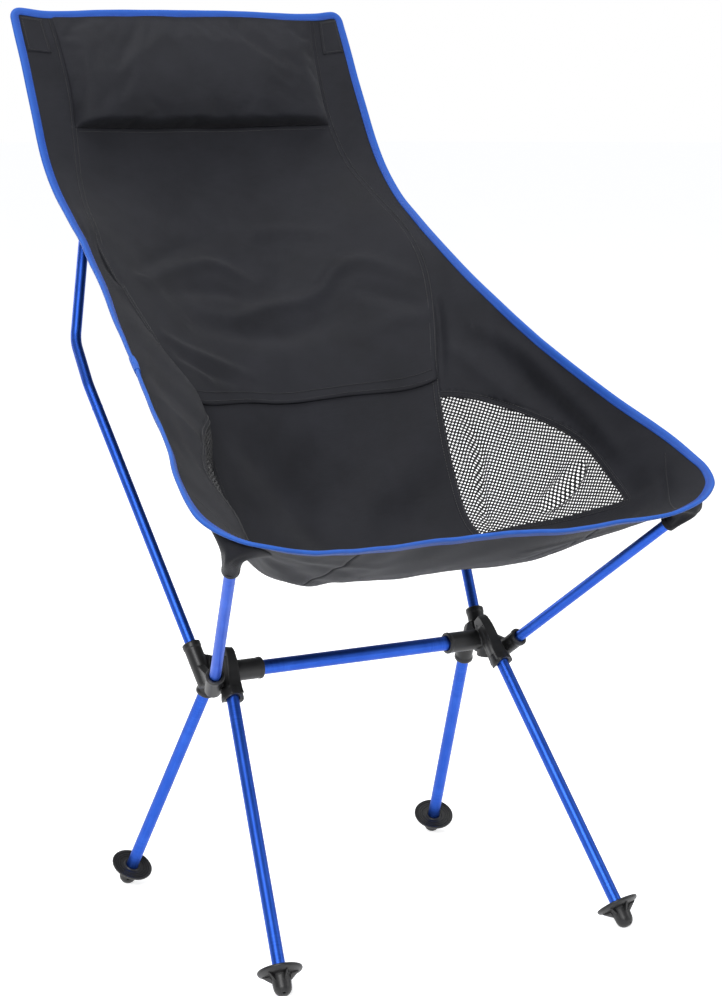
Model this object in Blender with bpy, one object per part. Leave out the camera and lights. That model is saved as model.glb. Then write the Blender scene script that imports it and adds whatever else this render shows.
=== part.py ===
"""High-back ultralight backpacking chair: shock-corded aluminium frame and a hung fabric seat.

Metres, +Z up, the sitter faces -Y. The origin is on the ground under the middle of the chair.
"right" is +X and "left" is -X. Every paired piece is modelled once for side +1 and mirrored by its side.
"""

import math

import bmesh
import bpy
import numpy as np
from mathutils import Matrix, Vector, geometry

# ---------------------------------------------------------------- driving dimensions
GAP = 0.0003            # kept between neighbouring pieces
FIT = 0.00035           # radial room of a tube in its socket

LEG_RADIUS = 0.0066     # lower tubes
POLE_RADIUS = 0.0059    # seat and back poles
BAR_RADIUS = 0.0079     # crossbar
TUBE_WALL = 0.0009
CORD_RADIUS = 0.0015    # elastic cord inside every tube

# Frame joints on the right side: where each tube leaves the hub, and where it goes.
BAR_MOUTH = Vector((0.1143, -0.0820, 0.2732))
FRONT_LEG_MOUTH = Vector((0.1647, -0.1164, 0.2554))
REAR_LEG_MOUTH = Vector((0.1618, -0.0404, 0.2395))
FRONT_FOOT = Vector((0.2016, -0.2939, 0.0210))
REAR_FOOT = Vector((0.1957, 0.0801, 0.0210))
SEAT_POLE_MOUTH = Vector((0.1861, -0.1204, 0.2811))
SEAT_POLE_ENTRY = Vector((0.2537, -0.2982, 0.4299))
BACK_POLE_MOUTH = Vector((0.1763, -0.0404, 0.2980))
BACK_FERRULE = Vector((0.2105, 0.1195, 0.5330))
BACK_LOW_BEND = Vector((0.2100, 0.1805, 0.6007))
BACK_HIGH_BEND = Vector((0.1710, 0.2345, 0.7450))
BACK_TIP = Vector((0.1980, 0.3535, 0.9480))
BEND_RADIUS = 0.045

# Each leg draws out of its socket and folds about an axis beside the mouth.
HINGE_OFFSET = 0.045
FRONT_FOLD_TILT = math.radians(20)      # inwards, so that a folded front leg clears the rear one
REAR_FOLD_TILT = math.radians(-10)

ROUND_STEPS = 14            # sides of a turned piece
HUB_STEPS = 12              # and of a round shape on the hub
CORD_STEPS = 6
BINDING_STEPS = 6
SEAT_TIP_LENGTH = 0.032     # of the seat pole inside its pocket
SOCKET_DEPTH = 0.022        # of the poles and the crossbar in the hub
LEG_BORE_DEPTH = 0.015
LEG_TUBE_DEPTH = 0.004      # the leg tube sits just inside the mouth
LEG_PLUG_DEPTH = 0.014      # its tapered plug goes in further
KNOT_DEPTH = 0.021
CORD_STOP_RADIUS = 0.0025

FOOT_DISC_RADIUS = 0.0230
FOOT_BALL_RADIUS = 0.0093
FOOT_FLAT_DEPTH = 0.0006    # worn flat under each ball, which stands on the ground
FOOT_SOCKET = 0.012         # the leg goes this far below the disc

FABRIC = 0.0016             # thickness of the seat cloth
MESH_CLOTH = 0.0008
BINDING_RADIUS = 0.0038
BINDING_ROOM = 0.0012       # between the binding and the cloth's cut edge
SEAM_S = 0.62               # where the side panels are sewn on, as a share of the half width
HEM_T = 0.50                # where the back panel ends and the seat panel begins
PILLOW_T = 0.160            # lower edge of the head pillow
PILLOW_HEIGHT = 0.030
PILLOW_ROOM = 0.0012        # under the pillow, whose facets differ from the panel's

# ---------------------------------------------------------------- materials
ANODISED_BLUE = ("anodised_blue", (0.025, 0.105, 0.62), 0.28, 0.9)
MOULDED_BLACK = ("moulded_black", (0.022, 0.022, 0.024), 0.5, 0.0)
PLUG_BLACK = ("plug_black", (0.03, 0.03, 0.032), 0.6, 0.0)
ELASTIC = ("elastic_cord", (0.05, 0.05, 0.055), 0.8, 0.0)
BARE_METAL = ("bare_aluminium", (0.7, 0.7, 0.72), 0.35, 1.0)
CLOTH_BLACK = ("seat_cloth", (0.028, 0.029, 0.033), 0.75, 0.0)
NET_BLACK = ("mesh_cloth", (0.02, 0.02, 0.022), 0.8, 0.0)
PIPING_BLUE = ("edge_binding", (0.012, 0.082, 0.52), 0.6, 0.0)
FOAM_GREY = ("pillow_foam", (0.5, 0.5, 0.48), 0.9, 0.0)


def material(spec):
    name, colour, roughness, metallic = spec
    found = bpy.data.materials.get(name)
    if found:
        return found
    made = bpy.data.materials.new(name)
    made.use_nodes = True
    shader = made.node_tree.nodes["Principled BSDF"]
    shader.inputs["Base Color"].default_value = (*colour, 1.0)
    shader.inputs["Roughness"].default_value = roughness
    shader.inputs["Metallic"].default_value = metallic
    made.diffuse_color = (*colour, 1.0)
    return made


def add_object(name, bm, spec, smooth_angle=math.radians(40)):
    """Closes a bmesh into a named object with one material."""
    bmesh.ops.recalc_face_normals(bm, faces=bm.faces)
    mesh = bpy.data.meshes.new(name)
    bm.to_mesh(mesh)
    bm.free()
    mesh.materials.append(material(spec))
    mesh.shade_smooth()
    mesh.set_sharp_from_angle(angle=smooth_angle)
    obj = bpy.data.objects.new(name, mesh)
    bpy.context.scene.collection.objects.link(obj)
    return obj


def sided(point, side):
    return Vector((point.x * side, point.y, point.z))


def side_name(side):
    return "right" if side > 0 else "left"


def unit(start, end):
    return (end - start).normalized()


# ---------------------------------------------------------------- turned pieces
def turned(name, profile, origin, axis, spec, steps=ROUND_STEPS):
    """Spins (radius, height) points about an axis. A closed profile gives a ring or a tube."""
    bm = bmesh.new()
    place = Matrix.Translation(origin) @ axis.to_track_quat("Z", "Y").to_matrix().to_4x4()
    verts = [bm.verts.new((radius, 0.0, height)) for radius, height in profile]
    edges = [bm.edges.new(pair) for pair in zip(verts, verts[1:])]
    if profile[0][0] > 0.0:
        edges.append(bm.edges.new((verts[-1], verts[0])))
    bmesh.ops.spin(bm, geom=verts + edges, cent=(0, 0, 0), axis=(0, 0, 1), angle=2 * math.pi, steps=steps)
    bmesh.ops.remove_doubles(bm, verts=bm.verts, dist=1e-6)
    bmesh.ops.transform(bm, matrix=place, verts=bm.verts)
    return add_object(name, bm, spec)


def tube(name, start, end, outer, spec):
    """A straight tube with open ends."""
    length = (end - start).length
    inner = outer - TUBE_WALL
    profile = [(inner, 0.0), (outer, 0.0), (outer, length), (inner, length)]
    return turned(name, profile, start, unit(start, end), spec)


def knotted_cord(name, start, end, knot_radius, knots=(False, True)):
    """A straight elastic cord, with a knot at either end."""
    length = (end - start).length
    knot = 0.005
    profile = [(0.0, 0.0)]
    if knots[0]:
        profile += [(knot_radius, 0.0), (knot_radius, knot)]
        profile += [(CORD_RADIUS, knot + 0.001)]
    else:
        profile += [(CORD_RADIUS, 0.0)]
    if knots[1]:
        profile += [(CORD_RADIUS, length - knot - 0.001)]
        profile += [(knot_radius, length - knot), (knot_radius, length)]
    else:
        profile += [(CORD_RADIUS, length)]
    profile += [(0.0, length)]
    return turned(name, profile, start, unit(start, end), ELASTIC, CORD_STEPS)


# ---------------------------------------------------------------- swept pieces
def rounded(corners, radius, arc_steps=5):
    """A path through corners, each rounded by an arc of the given radius."""
    path = [corners[0]]
    for before, corner, after in zip(corners, corners[1:], corners[2:]):
        into = unit(before, corner)
        out = unit(corner, after)
        turn = into.angle(out)
        reach = radius * math.tan(turn / 2)
        centre_way = (out - into).normalized()
        centre = corner + centre_way * (radius / math.cos(turn / 2))
        axis = into.cross(out).normalized()
        first = corner - into * reach - centre
        for step in range(arc_steps + 1):
            path.append(centre + Matrix.Rotation(turn * step / arc_steps, 3, axis) @ first)
    return path + [corners[-1]]


def rings_along(bm, path, radius, sides):
    """One ring of vertices per path point, carried along without twist."""
    rings = []
    across = None
    for index, point in enumerate(path):
        ahead = path[min(index + 1, len(path) - 1)] - path[max(index - 1, 0)]
        ahead.normalize()
        across = ahead.orthogonal() if across is None else across - ahead * across.dot(ahead)
        across.normalize()
        up = ahead.cross(across)
        ring = []
        for k in range(sides):
            angle = 2 * math.pi * k / sides
            ring.append(bm.verts.new(point + (across * math.cos(angle) + up * math.sin(angle)) * radius))
        rings.append(ring)
    return rings


def skin(bm, first, second):
    """Quads between two rings of the same size."""
    for k in range(len(first)):
        nxt = (k + 1) % len(first)
        bm.faces.new((first[k], first[nxt], second[nxt], second[k]))


def swept(name, path, outer, spec, inner=None, sides=16):
    """A round section along a path: a solid rod, or a tube when inner is given."""
    bm = bmesh.new()
    outside = rings_along(bm, path, outer, sides)
    for pair in zip(outside, outside[1:]):
        skin(bm, *pair)
    if inner is None:
        bm.faces.new(outside[0])
        bm.faces.new(outside[-1])
        return add_object(name, bm, spec)
    inside = rings_along(bm, path, inner, sides)
    for pair in zip(inside, inside[1:]):
        skin(bm, *pair)
    skin(bm, outside[0], inside[0])
    skin(bm, outside[-1], inside[-1])
    return add_object(name, bm, spec)


# ---------------------------------------------------------------- Booleans
def combined(target, others, operation):
    """Joins or cuts target with the other objects and removes them."""
    for other in others:
        modifier = target.modifiers.new(other.name, "BOOLEAN")
        modifier.operation = operation
        modifier.solver = "EXACT"
        modifier.object = other
    graph = bpy.context.evaluated_depsgraph_get()
    mesh = bpy.data.meshes.new_from_object(target.evaluated_get(graph))
    mesh.name = target.name
    target.modifiers.clear()
    target.data = mesh
    for other in others:
        bpy.data.objects.remove(other)
    return target


# ---------------------------------------------------------------- the hub
def hub_arm(mouth, inward, length, radius, lip):
    """A socket arm from its mouth inwards, with a rounded lip round the mouth."""
    profile = [
        (0.0, 0.0),
        (radius + lip - 0.0012, 0.0),
        (radius + lip, 0.0012),
        (radius + lip, 0.0035),
        (radius, 0.0050),
        (radius, length - 0.003),
        (radius - 0.003, length),
        (0.0, length),
    ]
    return turned("arm", profile, mouth, inward, MOULDED_BLACK, HUB_STEPS)


# (distance up from the mouth, half width) along the leaf
LEAF_STATIONS = [(0.002, 0.0085), (0.014, 0.0090), (0.030, 0.0140), (0.044, 0.0165), (0.056, 0.0135), (0.065, 0.0060)]
LEAF_HALF_THICKNESS = 0.0080
LEAF_ROUNDING = 0.0022


def hub_leaf(mouth, up, side):
    """The leaf-shaped body that runs up from the front leg's socket."""
    across = Vector((0, 1, 0)) - up * up.y
    across.normalize()
    through = up.cross(across)
    outline = LEAF_STATIONS + [(u, -w) for u, w in reversed(LEAF_STATIONS)]
    bm = bmesh.new()
    inner_face = Vector((-side * 0.0015, 0, 0))
    near_side = mouth + inner_face - through * LEAF_HALF_THICKNESS
    flat = [bm.verts.new(near_side + up * u + across * w) for u, w in outline]
    face = bm.faces.new(flat)
    grown = bmesh.ops.extrude_face_region(bm, geom=[face])
    new_verts = [item for item in grown["geom"] if isinstance(item, bmesh.types.BMVert)]
    bmesh.ops.translate(bm, vec=through * 2 * LEAF_HALF_THICKNESS, verts=new_verts)
    rim_edges = [edge for edge in bm.edges if abs((edge.verts[0].co - edge.verts[1].co).dot(through)) < 1e-5]
    bmesh.ops.bevel(bm, geom=rim_edges, offset=LEAF_ROUNDING, segments=2, profile=0.5, affect="EDGES")
    return add_object("leaf", bm, MOULDED_BLACK)


def hub_flare(mouth, up):
    """The wide mouth below the leaf, saddle-cut so that a horn stays on each side of the leg."""
    profile = [(0.0, -0.005), (0.0108, -0.005), (0.0114, -0.003), (0.0092, 0.012), (0.0, 0.014)]
    flare = turned("flare", profile, mouth, up, MOULDED_BLACK, HUB_STEPS)
    across = Vector((0, 1, 0)) - up * up.y
    across.normalize()
    saddle_radius = 0.0105
    saddle_centre = mouth - up * (saddle_radius + 0.0005) - across * 0.02
    saddle_profile = [(0, 0), (saddle_radius, 0), (saddle_radius, 0.04), (0, 0.04)]
    saddle = turned("saddle", saddle_profile, saddle_centre, across, MOULDED_BLACK, HUB_STEPS)
    return combined(flare, [saddle], "DIFFERENCE")


def bore(mouth, inward, depth, radius, knot_depth=0.0):
    """A socket cutter, stepped where a cord's knot sits behind it."""
    profile = [(0.0, -0.012), (radius, -0.012), (radius, depth)]
    if knot_depth:
        pocket = CORD_STOP_RADIUS + FIT
        profile += [(pocket, depth), (pocket, knot_depth + GAP)]
        profile += [(0.0, knot_depth + GAP)]
    else:
        profile += [(0.0, depth)]
    return turned("bore", profile, mouth, inward, MOULDED_BLACK, HUB_STEPS)


def make_hub(side):
    leg_front = sided(FRONT_LEG_MOUTH, side)
    leg_rear = sided(REAR_LEG_MOUTH, side)
    bar = sided(BAR_MOUTH, side)
    seat = sided(SEAT_POLE_MOUTH, side)
    back = sided(BACK_POLE_MOUTH, side)
    front_up = unit(sided(FRONT_FOOT, side), leg_front)
    rear_up = unit(sided(REAR_FOOT, side), leg_rear)
    seat_in = unit(sided(SEAT_POLE_ENTRY, side), seat)
    back_in = unit(sided(BACK_FERRULE, side), back)
    bar_in = Vector((side, 0, 0))

    hub = hub_leaf(leg_front, front_up, side)
    hub.name = "hub_" + side_name(side)
    core = turned("core", [(0, 0), (0.012, 0.0), (0.0125, 0.020), (0, 0.024)],
                  Vector((side * 0.1675, -0.0840, 0.2540)), Vector((0, 0, 1)), MOULDED_BLACK, HUB_STEPS)
    pieces = [
        core,
        hub_flare(leg_front, front_up),
        hub_arm(leg_front, front_up, 0.046, 0.0090, 0.0),
        hub_arm(leg_rear, rear_up, 0.038, 0.0092, 0.0012),
        hub_arm(back, back_in, 0.052, 0.0092, 0.0006),
        hub_arm(seat, seat_in, 0.040, 0.0088, 0.0010),
        hub_arm(bar, bar_in, 0.048, 0.0112, 0.0006),
    ]
    combined(hub, pieces, "UNION")
    cutters = [
        bore(leg_front, front_up, LEG_BORE_DEPTH, LEG_RADIUS + FIT, KNOT_DEPTH),
        bore(leg_rear, rear_up, LEG_BORE_DEPTH, LEG_RADIUS + FIT, KNOT_DEPTH),
        bore(back, back_in, SOCKET_DEPTH + GAP, POLE_RADIUS + FIT),
        bore(seat, seat_in, SOCKET_DEPTH + GAP, POLE_RADIUS + FIT),
        bore(bar, bar_in, SOCKET_DEPTH + GAP, BAR_RADIUS + FIT),
    ]
    combined(hub, cutters, "DIFFERENCE")
    return hub


# ---------------------------------------------------------------- legs and feet
def make_foot(name, disc, up):
    """A ground disc over a round-ended cup, one moulding. The leg goes through the disc into the cup."""
    ball = (disc.z - FOOT_BALL_RADIUS + FOOT_FLAT_DEPTH) / up.z
    bottom = [(FOOT_BALL_RADIUS * math.sin(a), -ball - FOOT_BALL_RADIUS * math.cos(a))
              for a in np.linspace(0, math.radians(90), 5)]
    socket = LEG_RADIUS + FIT
    profile = bottom + [
        (0.0104, -0.0045),
        (FOOT_DISC_RADIUS - 0.006, -0.0030),
        (FOOT_DISC_RADIUS, 0.0010),
        (FOOT_DISC_RADIUS - 0.0005, 0.0028),
        (FOOT_DISC_RADIUS - 0.007, 0.0004),
        (0.0100, 0.0006),
        (0.0088, 0.0022),
        (socket, 0.0022),
        (socket, -FOOT_SOCKET),
        (0.0, -FOOT_SOCKET),
    ]
    foot = turned(name, profile, disc, up, MOULDED_BLACK)
    ground = 0.06
    bm = bmesh.new()
    bmesh.ops.create_cube(bm, size=ground, matrix=Matrix.Translation((disc.x, disc.y, -ground / 2)))
    return combined(foot, [add_object("ground", bm, MOULDED_BLACK)], "DIFFERENCE")


def fold_axis(mouth, disc, forwards, tilt, side):
    """A point on a leg's fold axis and the axis itself; a positive turn folds the leg under the seat."""
    down = unit(mouth, disc)
    sweep = Vector((0, -1 if forwards else 1, 0))
    sweep = (sweep - down * sweep.dot(down)).normalized()
    inwards = Vector((-side, 0, 0))
    inwards = (inwards - down * inwards.dot(down) - sweep * inwards.dot(sweep)).normalized()
    sweep = sweep * math.cos(tilt) + inwards * math.sin(tilt)
    return mouth + sweep * HINGE_OFFSET, down.cross(sweep)


def hinge_empty(name, point, axis):
    """An empty on a fold axis, its Z along the axis."""
    empty = bpy.data.objects.new(name, None)
    empty.matrix_world = Matrix.Translation(point) @ axis.to_track_quat("Z", "Y").to_matrix().to_4x4()
    empty.empty_display_size = 0.02
    bpy.context.scene.collection.objects.link(empty)
    return empty


def make_leg(label, mouth, disc, point, axis):
    up = unit(disc, mouth)
    hinge = hinge_empty("fold_" + label, point, axis)
    top = mouth + up * LEG_TUBE_DEPTH
    pieces = [
        tube("leg_" + label, disc - up * (FOOT_SOCKET - GAP), top, LEG_RADIUS, ANODISED_BLUE),
        make_foot("foot_" + label, disc, up),
    ]

    inside = LEG_RADIUS - TUBE_WALL - GAP
    hole = CORD_RADIUS + GAP
    reach = LEG_PLUG_DEPTH - LEG_TUBE_DEPTH
    profile = [
        (hole, -0.012), (inside, -0.012), (inside, GAP), (0.0062, GAP), (0.0062, 0.002),
        (0.0056, 0.005), (0.0043, reach), (hole, reach),
    ]
    pieces.append(turned("plug_" + label, profile, top, up, PLUG_BLACK, 10))
    cord_low = disc - up * (FOOT_SOCKET - 2 * GAP)
    pieces.append(knotted_cord("cord_" + label, mouth + up * LEG_PLUG_DEPTH, cord_low, 0.0045))
    for piece in pieces:
        piece.parent = hinge
        piece.matrix_parent_inverse = hinge.matrix_world.inverted()
    stop_low = mouth + up * (LEG_PLUG_DEPTH + 2 * GAP)
    profile = [(0.0, 0.0), (CORD_RADIUS, 0.0), (CORD_RADIUS, 0.002), (CORD_STOP_RADIUS, 0.003),
               (CORD_STOP_RADIUS, KNOT_DEPTH - LEG_PLUG_DEPTH - 2 * GAP),
               (0.0, KNOT_DEPTH - LEG_PLUG_DEPTH - 2 * GAP)]
    turned("cord_stop_" + label, profile, stop_low, up, ELASTIC, CORD_STEPS)


def make_legs(side):
    front = (sided(FRONT_LEG_MOUTH, side), sided(FRONT_FOOT, side))
    rear = (sided(REAR_LEG_MOUTH, side), sided(REAR_FOOT, side))
    make_leg("front_" + side_name(side), *front, *fold_axis(*front, False, FRONT_FOLD_TILT, side))
    make_leg("rear_" + side_name(side), *rear, *fold_axis(*rear, True, REAR_FOLD_TILT, side))


# ---------------------------------------------------------------- crossbar and upper poles
def make_crossbar():
    left = sided(BAR_MOUTH, -1) - Vector((SOCKET_DEPTH, 0, 0))
    right = BAR_MOUTH + Vector((SOCKET_DEPTH, 0, 0))
    tube("crossbar", left, right, BAR_RADIUS, ANODISED_BLUE)
    inset = Vector((0.002, 0, 0))
    knotted_cord("cord_crossbar", left + inset, right - inset, 0.0055, (True, True))


def pole_tip(name, end, along):
    """A moulded cap that plugs a pole's end and rounds it off."""
    inside = POLE_RADIUS - TUBE_WALL - GAP
    profile = [(0.0, -0.010), (inside, -0.010), (inside, GAP), (POLE_RADIUS, GAP), (POLE_RADIUS, 0.002),
               (POLE_RADIUS * 0.8, 0.005), (POLE_RADIUS * 0.35, 0.0066), (0.0, 0.007)]
    turned(name, profile, end, along, PLUG_BLACK, 10)


def pocket(name, end, along, depth, reach=0.0078):
    """A cup of folded cloth over a pole's tip."""
    inner = POLE_RADIUS + 0.0006
    outer = inner + 0.0018
    profile = [(0.0, reach + 0.002), (outer - 0.003, reach + 0.002), (outer, reach - 0.002), (outer, -depth),
               (inner, -depth), (inner, reach - 0.002), (inner - 0.002, reach), (0.0, reach)]
    turned(name, profile[::-1], end, along, CLOTH_BLACK)


def make_seat_pole(side):
    label = side_name(side)
    mouth = sided(SEAT_POLE_MOUTH, side)
    entry = sided(SEAT_POLE_ENTRY, side)
    along = unit(mouth, entry)
    low = mouth - along * SOCKET_DEPTH
    end = entry + along * SEAT_TIP_LENGTH
    tube("seat_pole_" + label, low, end, POLE_RADIUS, ANODISED_BLUE)
    pole_tip("seat_pole_tip_" + label, end, along)
    pocket("front_pocket_" + label, end, along, SEAT_TIP_LENGTH)
    knotted_cord("cord_seat_pole_" + label, low + along * 0.002, end - along * 0.0105, 0.0045, (True, True))


def make_back_pole(side):
    label = side_name(side)
    mouth = sided(BACK_POLE_MOUTH, side)
    joint = sided(BACK_FERRULE, side)
    along = unit(mouth, joint)
    low = mouth - along * SOCKET_DEPTH
    tube("back_pole_lower_" + label, low, joint - along * GAP, POLE_RADIUS, ANODISED_BLUE)

    # The upper tube starts in line with the lower one, so that the ferrule fits both.
    straight = joint + along * 0.030
    tip = sided(BACK_TIP, side)
    corners = [straight, sided(BACK_LOW_BEND, side), sided(BACK_HIGH_BEND, side), tip]
    path = [joint + along * GAP] + rounded([joint] + corners, BEND_RADIUS, 3)[1:]
    swept("back_pole_upper_" + label, path, POLE_RADIUS, ANODISED_BLUE, POLE_RADIUS - TUBE_WALL, 12)
    end_way = unit(path[-2], path[-1])
    pole_tip("back_pole_tip_" + label, tip, end_way)
    pocket("top_pocket_" + label, tip, end_way, 0.034)

    ferrule_outer = POLE_RADIUS - TUBE_WALL - GAP
    half = 0.022
    profile = [(ferrule_outer - 0.0008, -half), (ferrule_outer, -half), (ferrule_outer, half),
               (ferrule_outer - 0.0008, half)]
    turned("ferrule_" + label, profile, joint, along, BARE_METAL)
    cord_path = [low + along * 0.003] + path[1:-1] + [tip - end_way * 0.0105]
    swept("cord_back_pole_" + label, cord_path, CORD_RADIUS, ELASTIC, None, CORD_STEPS)


# ---------------------------------------------------------------- the hung seat
# The right half of the cloth as a net. A row runs across the chair; its four points are the edge,
# the middle of the side panel, the seam and the centre line. Rows run from the top to the front edge.
NET = np.array([
    [(0.213, 0.3465, 0.966), (0.193, 0.3435, 0.964), (0.172, 0.3395, 0.962), (0.0, 0.3455, 0.965)],
    [(0.213, 0.2905, 0.867), (0.190, 0.2925, 0.866), (0.166, 0.2945, 0.865), (0.0, 0.3115, 0.862)],
    [(0.215, 0.2305, 0.777), (0.198, 0.2345, 0.777), (0.179, 0.2395, 0.777), (0.0, 0.2755, 0.770)],
    [(0.217, 0.1605, 0.727), (0.207, 0.1605, 0.724), (0.195, 0.1565, 0.720), (0.0, 0.2055, 0.690)],
    [(0.223, 0.0775, 0.678), (0.207, 0.0755, 0.664), (0.188, 0.0795, 0.652), (0.0, 0.1275, 0.610)],
    [(0.234, 0.0125, 0.640), (0.200, -0.0005, 0.588), (0.156, 0.0065, 0.550), (0.0, 0.0525, 0.528)],
    [(0.246, -0.0625, 0.600), (0.203, -0.0725, 0.500), (0.143, -0.0585, 0.444), (0.0, -0.0195, 0.420)],
    [(0.257, -0.1245, 0.571), (0.206, -0.1275, 0.450), (0.138, -0.1055, 0.403), (0.0, -0.0895, 0.373)],
    [(0.270, -0.1925, 0.541), (0.212, -0.1975, 0.425), (0.141, -0.1925, 0.389), (0.0, -0.1755, 0.376)],
    [(0.287, -0.2505, 0.514), (0.224, -0.2755, 0.437), (0.141, -0.2735, 0.410), (0.0, -0.2575, 0.400)],
    [(0.294, -0.3225, 0.482), (0.233, -0.3595, 0.458), (0.138, -0.3465, 0.446), (0.0, -0.3175, 0.441)],
])
ROWS = np.array([0.0, 0.12, 0.23, 0.32, 0.41, 0.5, 0.6, 0.68, 0.79, 0.9, 1.0])
COLUMNS = np.array([-1.0, -0.8, -SEAM_S, -0.31, 0.0, 0.31, SEAM_S, 0.8, 1.0])
MIRROR = np.array([-1.0, 1.0, 1.0])


def spline_matrix(stations):
    """The matrix that turns values at the stations into a natural cubic spline's second derivatives."""
    count = len(stations)
    steps = np.diff(stations)
    left = np.eye(count)
    right = np.zeros((count, count))
    for i in range(1, count - 1):
        left[i, i - 1] = steps[i - 1]
        left[i, i] = 2 * (steps[i - 1] + steps[i])
        left[i, i + 1] = steps[i]
        right[i, i - 1] = 6 / steps[i - 1]
        right[i, i] = -6 / steps[i - 1] - 6 / steps[i]
        right[i, i + 1] = 6 / steps[i]
    return np.linalg.solve(left, right)


ROW_MATRIX = spline_matrix(ROWS)
COLUMN_MATRIX = spline_matrix(COLUMNS)


def spline_value(stations, matrix, values, at):
    flat = values.reshape(len(stations), -1)
    bends = matrix @ flat
    i = int(np.clip(np.searchsorted(stations, at) - 1, 0, len(stations) - 2))
    step = stations[i + 1] - stations[i]
    a = (stations[i + 1] - at) / step
    b = (at - stations[i]) / step
    value = a * flat[i] + b * flat[i + 1]
    value += ((a**3 - a) * bends[i] + (b**3 - b) * bends[i + 1]) * step * step / 6
    return value.reshape(values.shape[1:])


def sling(s, t):
    """A point of the cloth: s runs across from -1 to 1, t from the top edge, 0, to the front edge, 1."""
    edge, wing, seam, centre = spline_value(ROWS, ROW_MATRIX, NET, t)
    between = centre + (seam - centre) * np.array([0.5, 0.3, 0.3])
    half = [centre, between, seam, wing, edge]
    across = np.array([point * MIRROR for point in half[:0:-1]] + half)
    return Vector(spline_value(COLUMNS, COLUMN_MATRIX, across, s))


def sling_sides(s, t):
    """Unit vectors on the cloth at (s, t): towards +s, towards +t, and out to the sitter's side."""
    step = 1e-3
    along_s = sling(min(s + step, 1.0), t) - sling(max(s - step, -1.0), t)
    along_t = sling(s, min(t + step, 1.0)) - sling(s, max(t - step, 0.0))
    along_s.normalize()
    along_t.normalize()
    return along_s, along_t, along_t.cross(along_s).normalized()


def inset(s, t, step_s, step_t):
    """How far the cloth's cut edge lies inside the middle of its binding, as a share of s or t."""
    across_edge = (sling(s, t) - sling(s - step_s, t - step_t)) / (step_s + step_t)
    along_s, along_t, _ = sling_sides(s, t)
    along_edge = along_t if step_s else along_s
    return (BINDING_RADIUS + BINDING_ROOM) / across_edge.cross(along_edge).length


def cloth_point(s, t, height):
    """A point of the cut cloth, lifted off its middle surface by height."""
    step = 1e-3
    cut_s = s * (1.0 - inset(1.0, t, step, 0.0))
    top = inset(cut_s, 0.0, 0.0, -step)
    front = inset(cut_s, 1.0, 0.0, step)
    cut_t = top + t * (1.0 - top - front)
    return sling(cut_s, cut_t) + sling_sides(cut_s, cut_t)[2] * height


# The domain is scaled to roughly true lengths before it is divided into triangles.
DOMAIN = Vector((0.25, 0.95))


def inside_polygon(point, polygon):
    inside = False
    for a, b in zip(polygon, polygon[1:] + polygon[:1]):
        if (a.y > point.y) != (b.y > point.y):
            if point.x < (b.x - a.x) * (point.y - a.y) / (b.y - a.y) + a.x:
                inside = not inside
    return inside


def edge_distance(point, polygon):
    best = 1.0
    for a, b in zip(polygon, polygon[1:] + polygon[:1]):
        share = max(0.0, min(1.0, (point - a).dot(b - a) / max((b - a).length_squared, 1e-12)))
        best = min(best, (point - a - (b - a) * share).length)
    return best


def divided(outline, spacing):
    """The outline as a closed polygon in the domain, with no side longer than the spacing."""
    corners = [Vector((s * DOMAIN.x, t * DOMAIN.y)) for s, t in outline]
    polygon = []
    for a, b in zip(corners, corners[1:] + corners[:1]):
        count = max(1, math.ceil((b - a).length / spacing))
        polygon += [a.lerp(b, k / count) for k in range(count)]
    return polygon


def layer(name, outline, low, high, spec, spacing=0.036):
    """A closed sheet over part of the cloth, between two heights that may vary over it."""
    polygon = divided(outline, spacing)
    xs = [p.x for p in polygon]
    ys = [p.y for p in polygon]
    points = list(polygon)
    for x in np.arange(min(xs), max(xs), spacing) + spacing * 0.5:
        for y in np.arange(min(ys), max(ys), spacing) + spacing * 0.5:
            candidate = Vector((x, y))
            if inside_polygon(candidate, polygon) and edge_distance(candidate, polygon) > spacing * 0.45:
                points.append(candidate)
    edges = [(k, (k + 1) % len(polygon)) for k in range(len(polygon))]
    flat, _, triangles, *_ = geometry.delaunay_2d_cdt(points, edges, [], 1, 1e-7)

    bm = bmesh.new()
    lower = []
    upper = []
    for p in flat:
        s = p.x / DOMAIN.x
        t = p.y / DOMAIN.y
        lower.append(bm.verts.new(cloth_point(s, t, low(s, t))))
        upper.append(bm.verts.new(cloth_point(s, t, high(s, t))))
    for triangle in triangles:
        bm.faces.new([lower[k] for k in triangle])
        bm.faces.new([upper[k] for k in reversed(triangle)])
    rim = [edge for edge in bm.edges if edge.is_boundary and edge.verts[0] in set(lower)]
    partner = dict(zip(lower, upper))
    for edge in rim:
        a, b = edge.verts
        bm.faces.new((a, b, partner[b], partner[a]))
    return add_object(name, bm, spec)


def flat_layer(name, outline, thickness, spec, spacing=0.036):
    def low(s, t):
        return -thickness / 2

    def high(s, t):
        return thickness / 2

    return layer(name, outline, low, high, spec, spacing)


SEAM_ROOM_IN = 0.0016       # left free on the middle panels' side of a seam, as a share of s
SEAM_ROOM_OUT = 0.0030      # and on the side panel's side
HEM_ROOM = 0.0004
WINDOW_ROOM = 0.008

# The net window in the side panel, in (s, t): it starts on the seam and ends near the front corner.
WINDOW_TOP_T = 0.516
WINDOW_LOW_T = 0.695
WINDOW_TIP = Vector((0.845, 0.866))
WINDOW_OUTER_PULL = Vector((1.035, 0.629))
WINDOW_LOWER_PULL = Vector((0.800, 0.703))


def bowed(start, pull, end, count):
    """Points of the smooth curve from start to end that a pull point bows out."""
    shares = np.linspace(0, 1, count)
    return [start * (1 - u) ** 2 + pull * 2 * u * (1 - u) + end * u**2 for u in shares]


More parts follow.
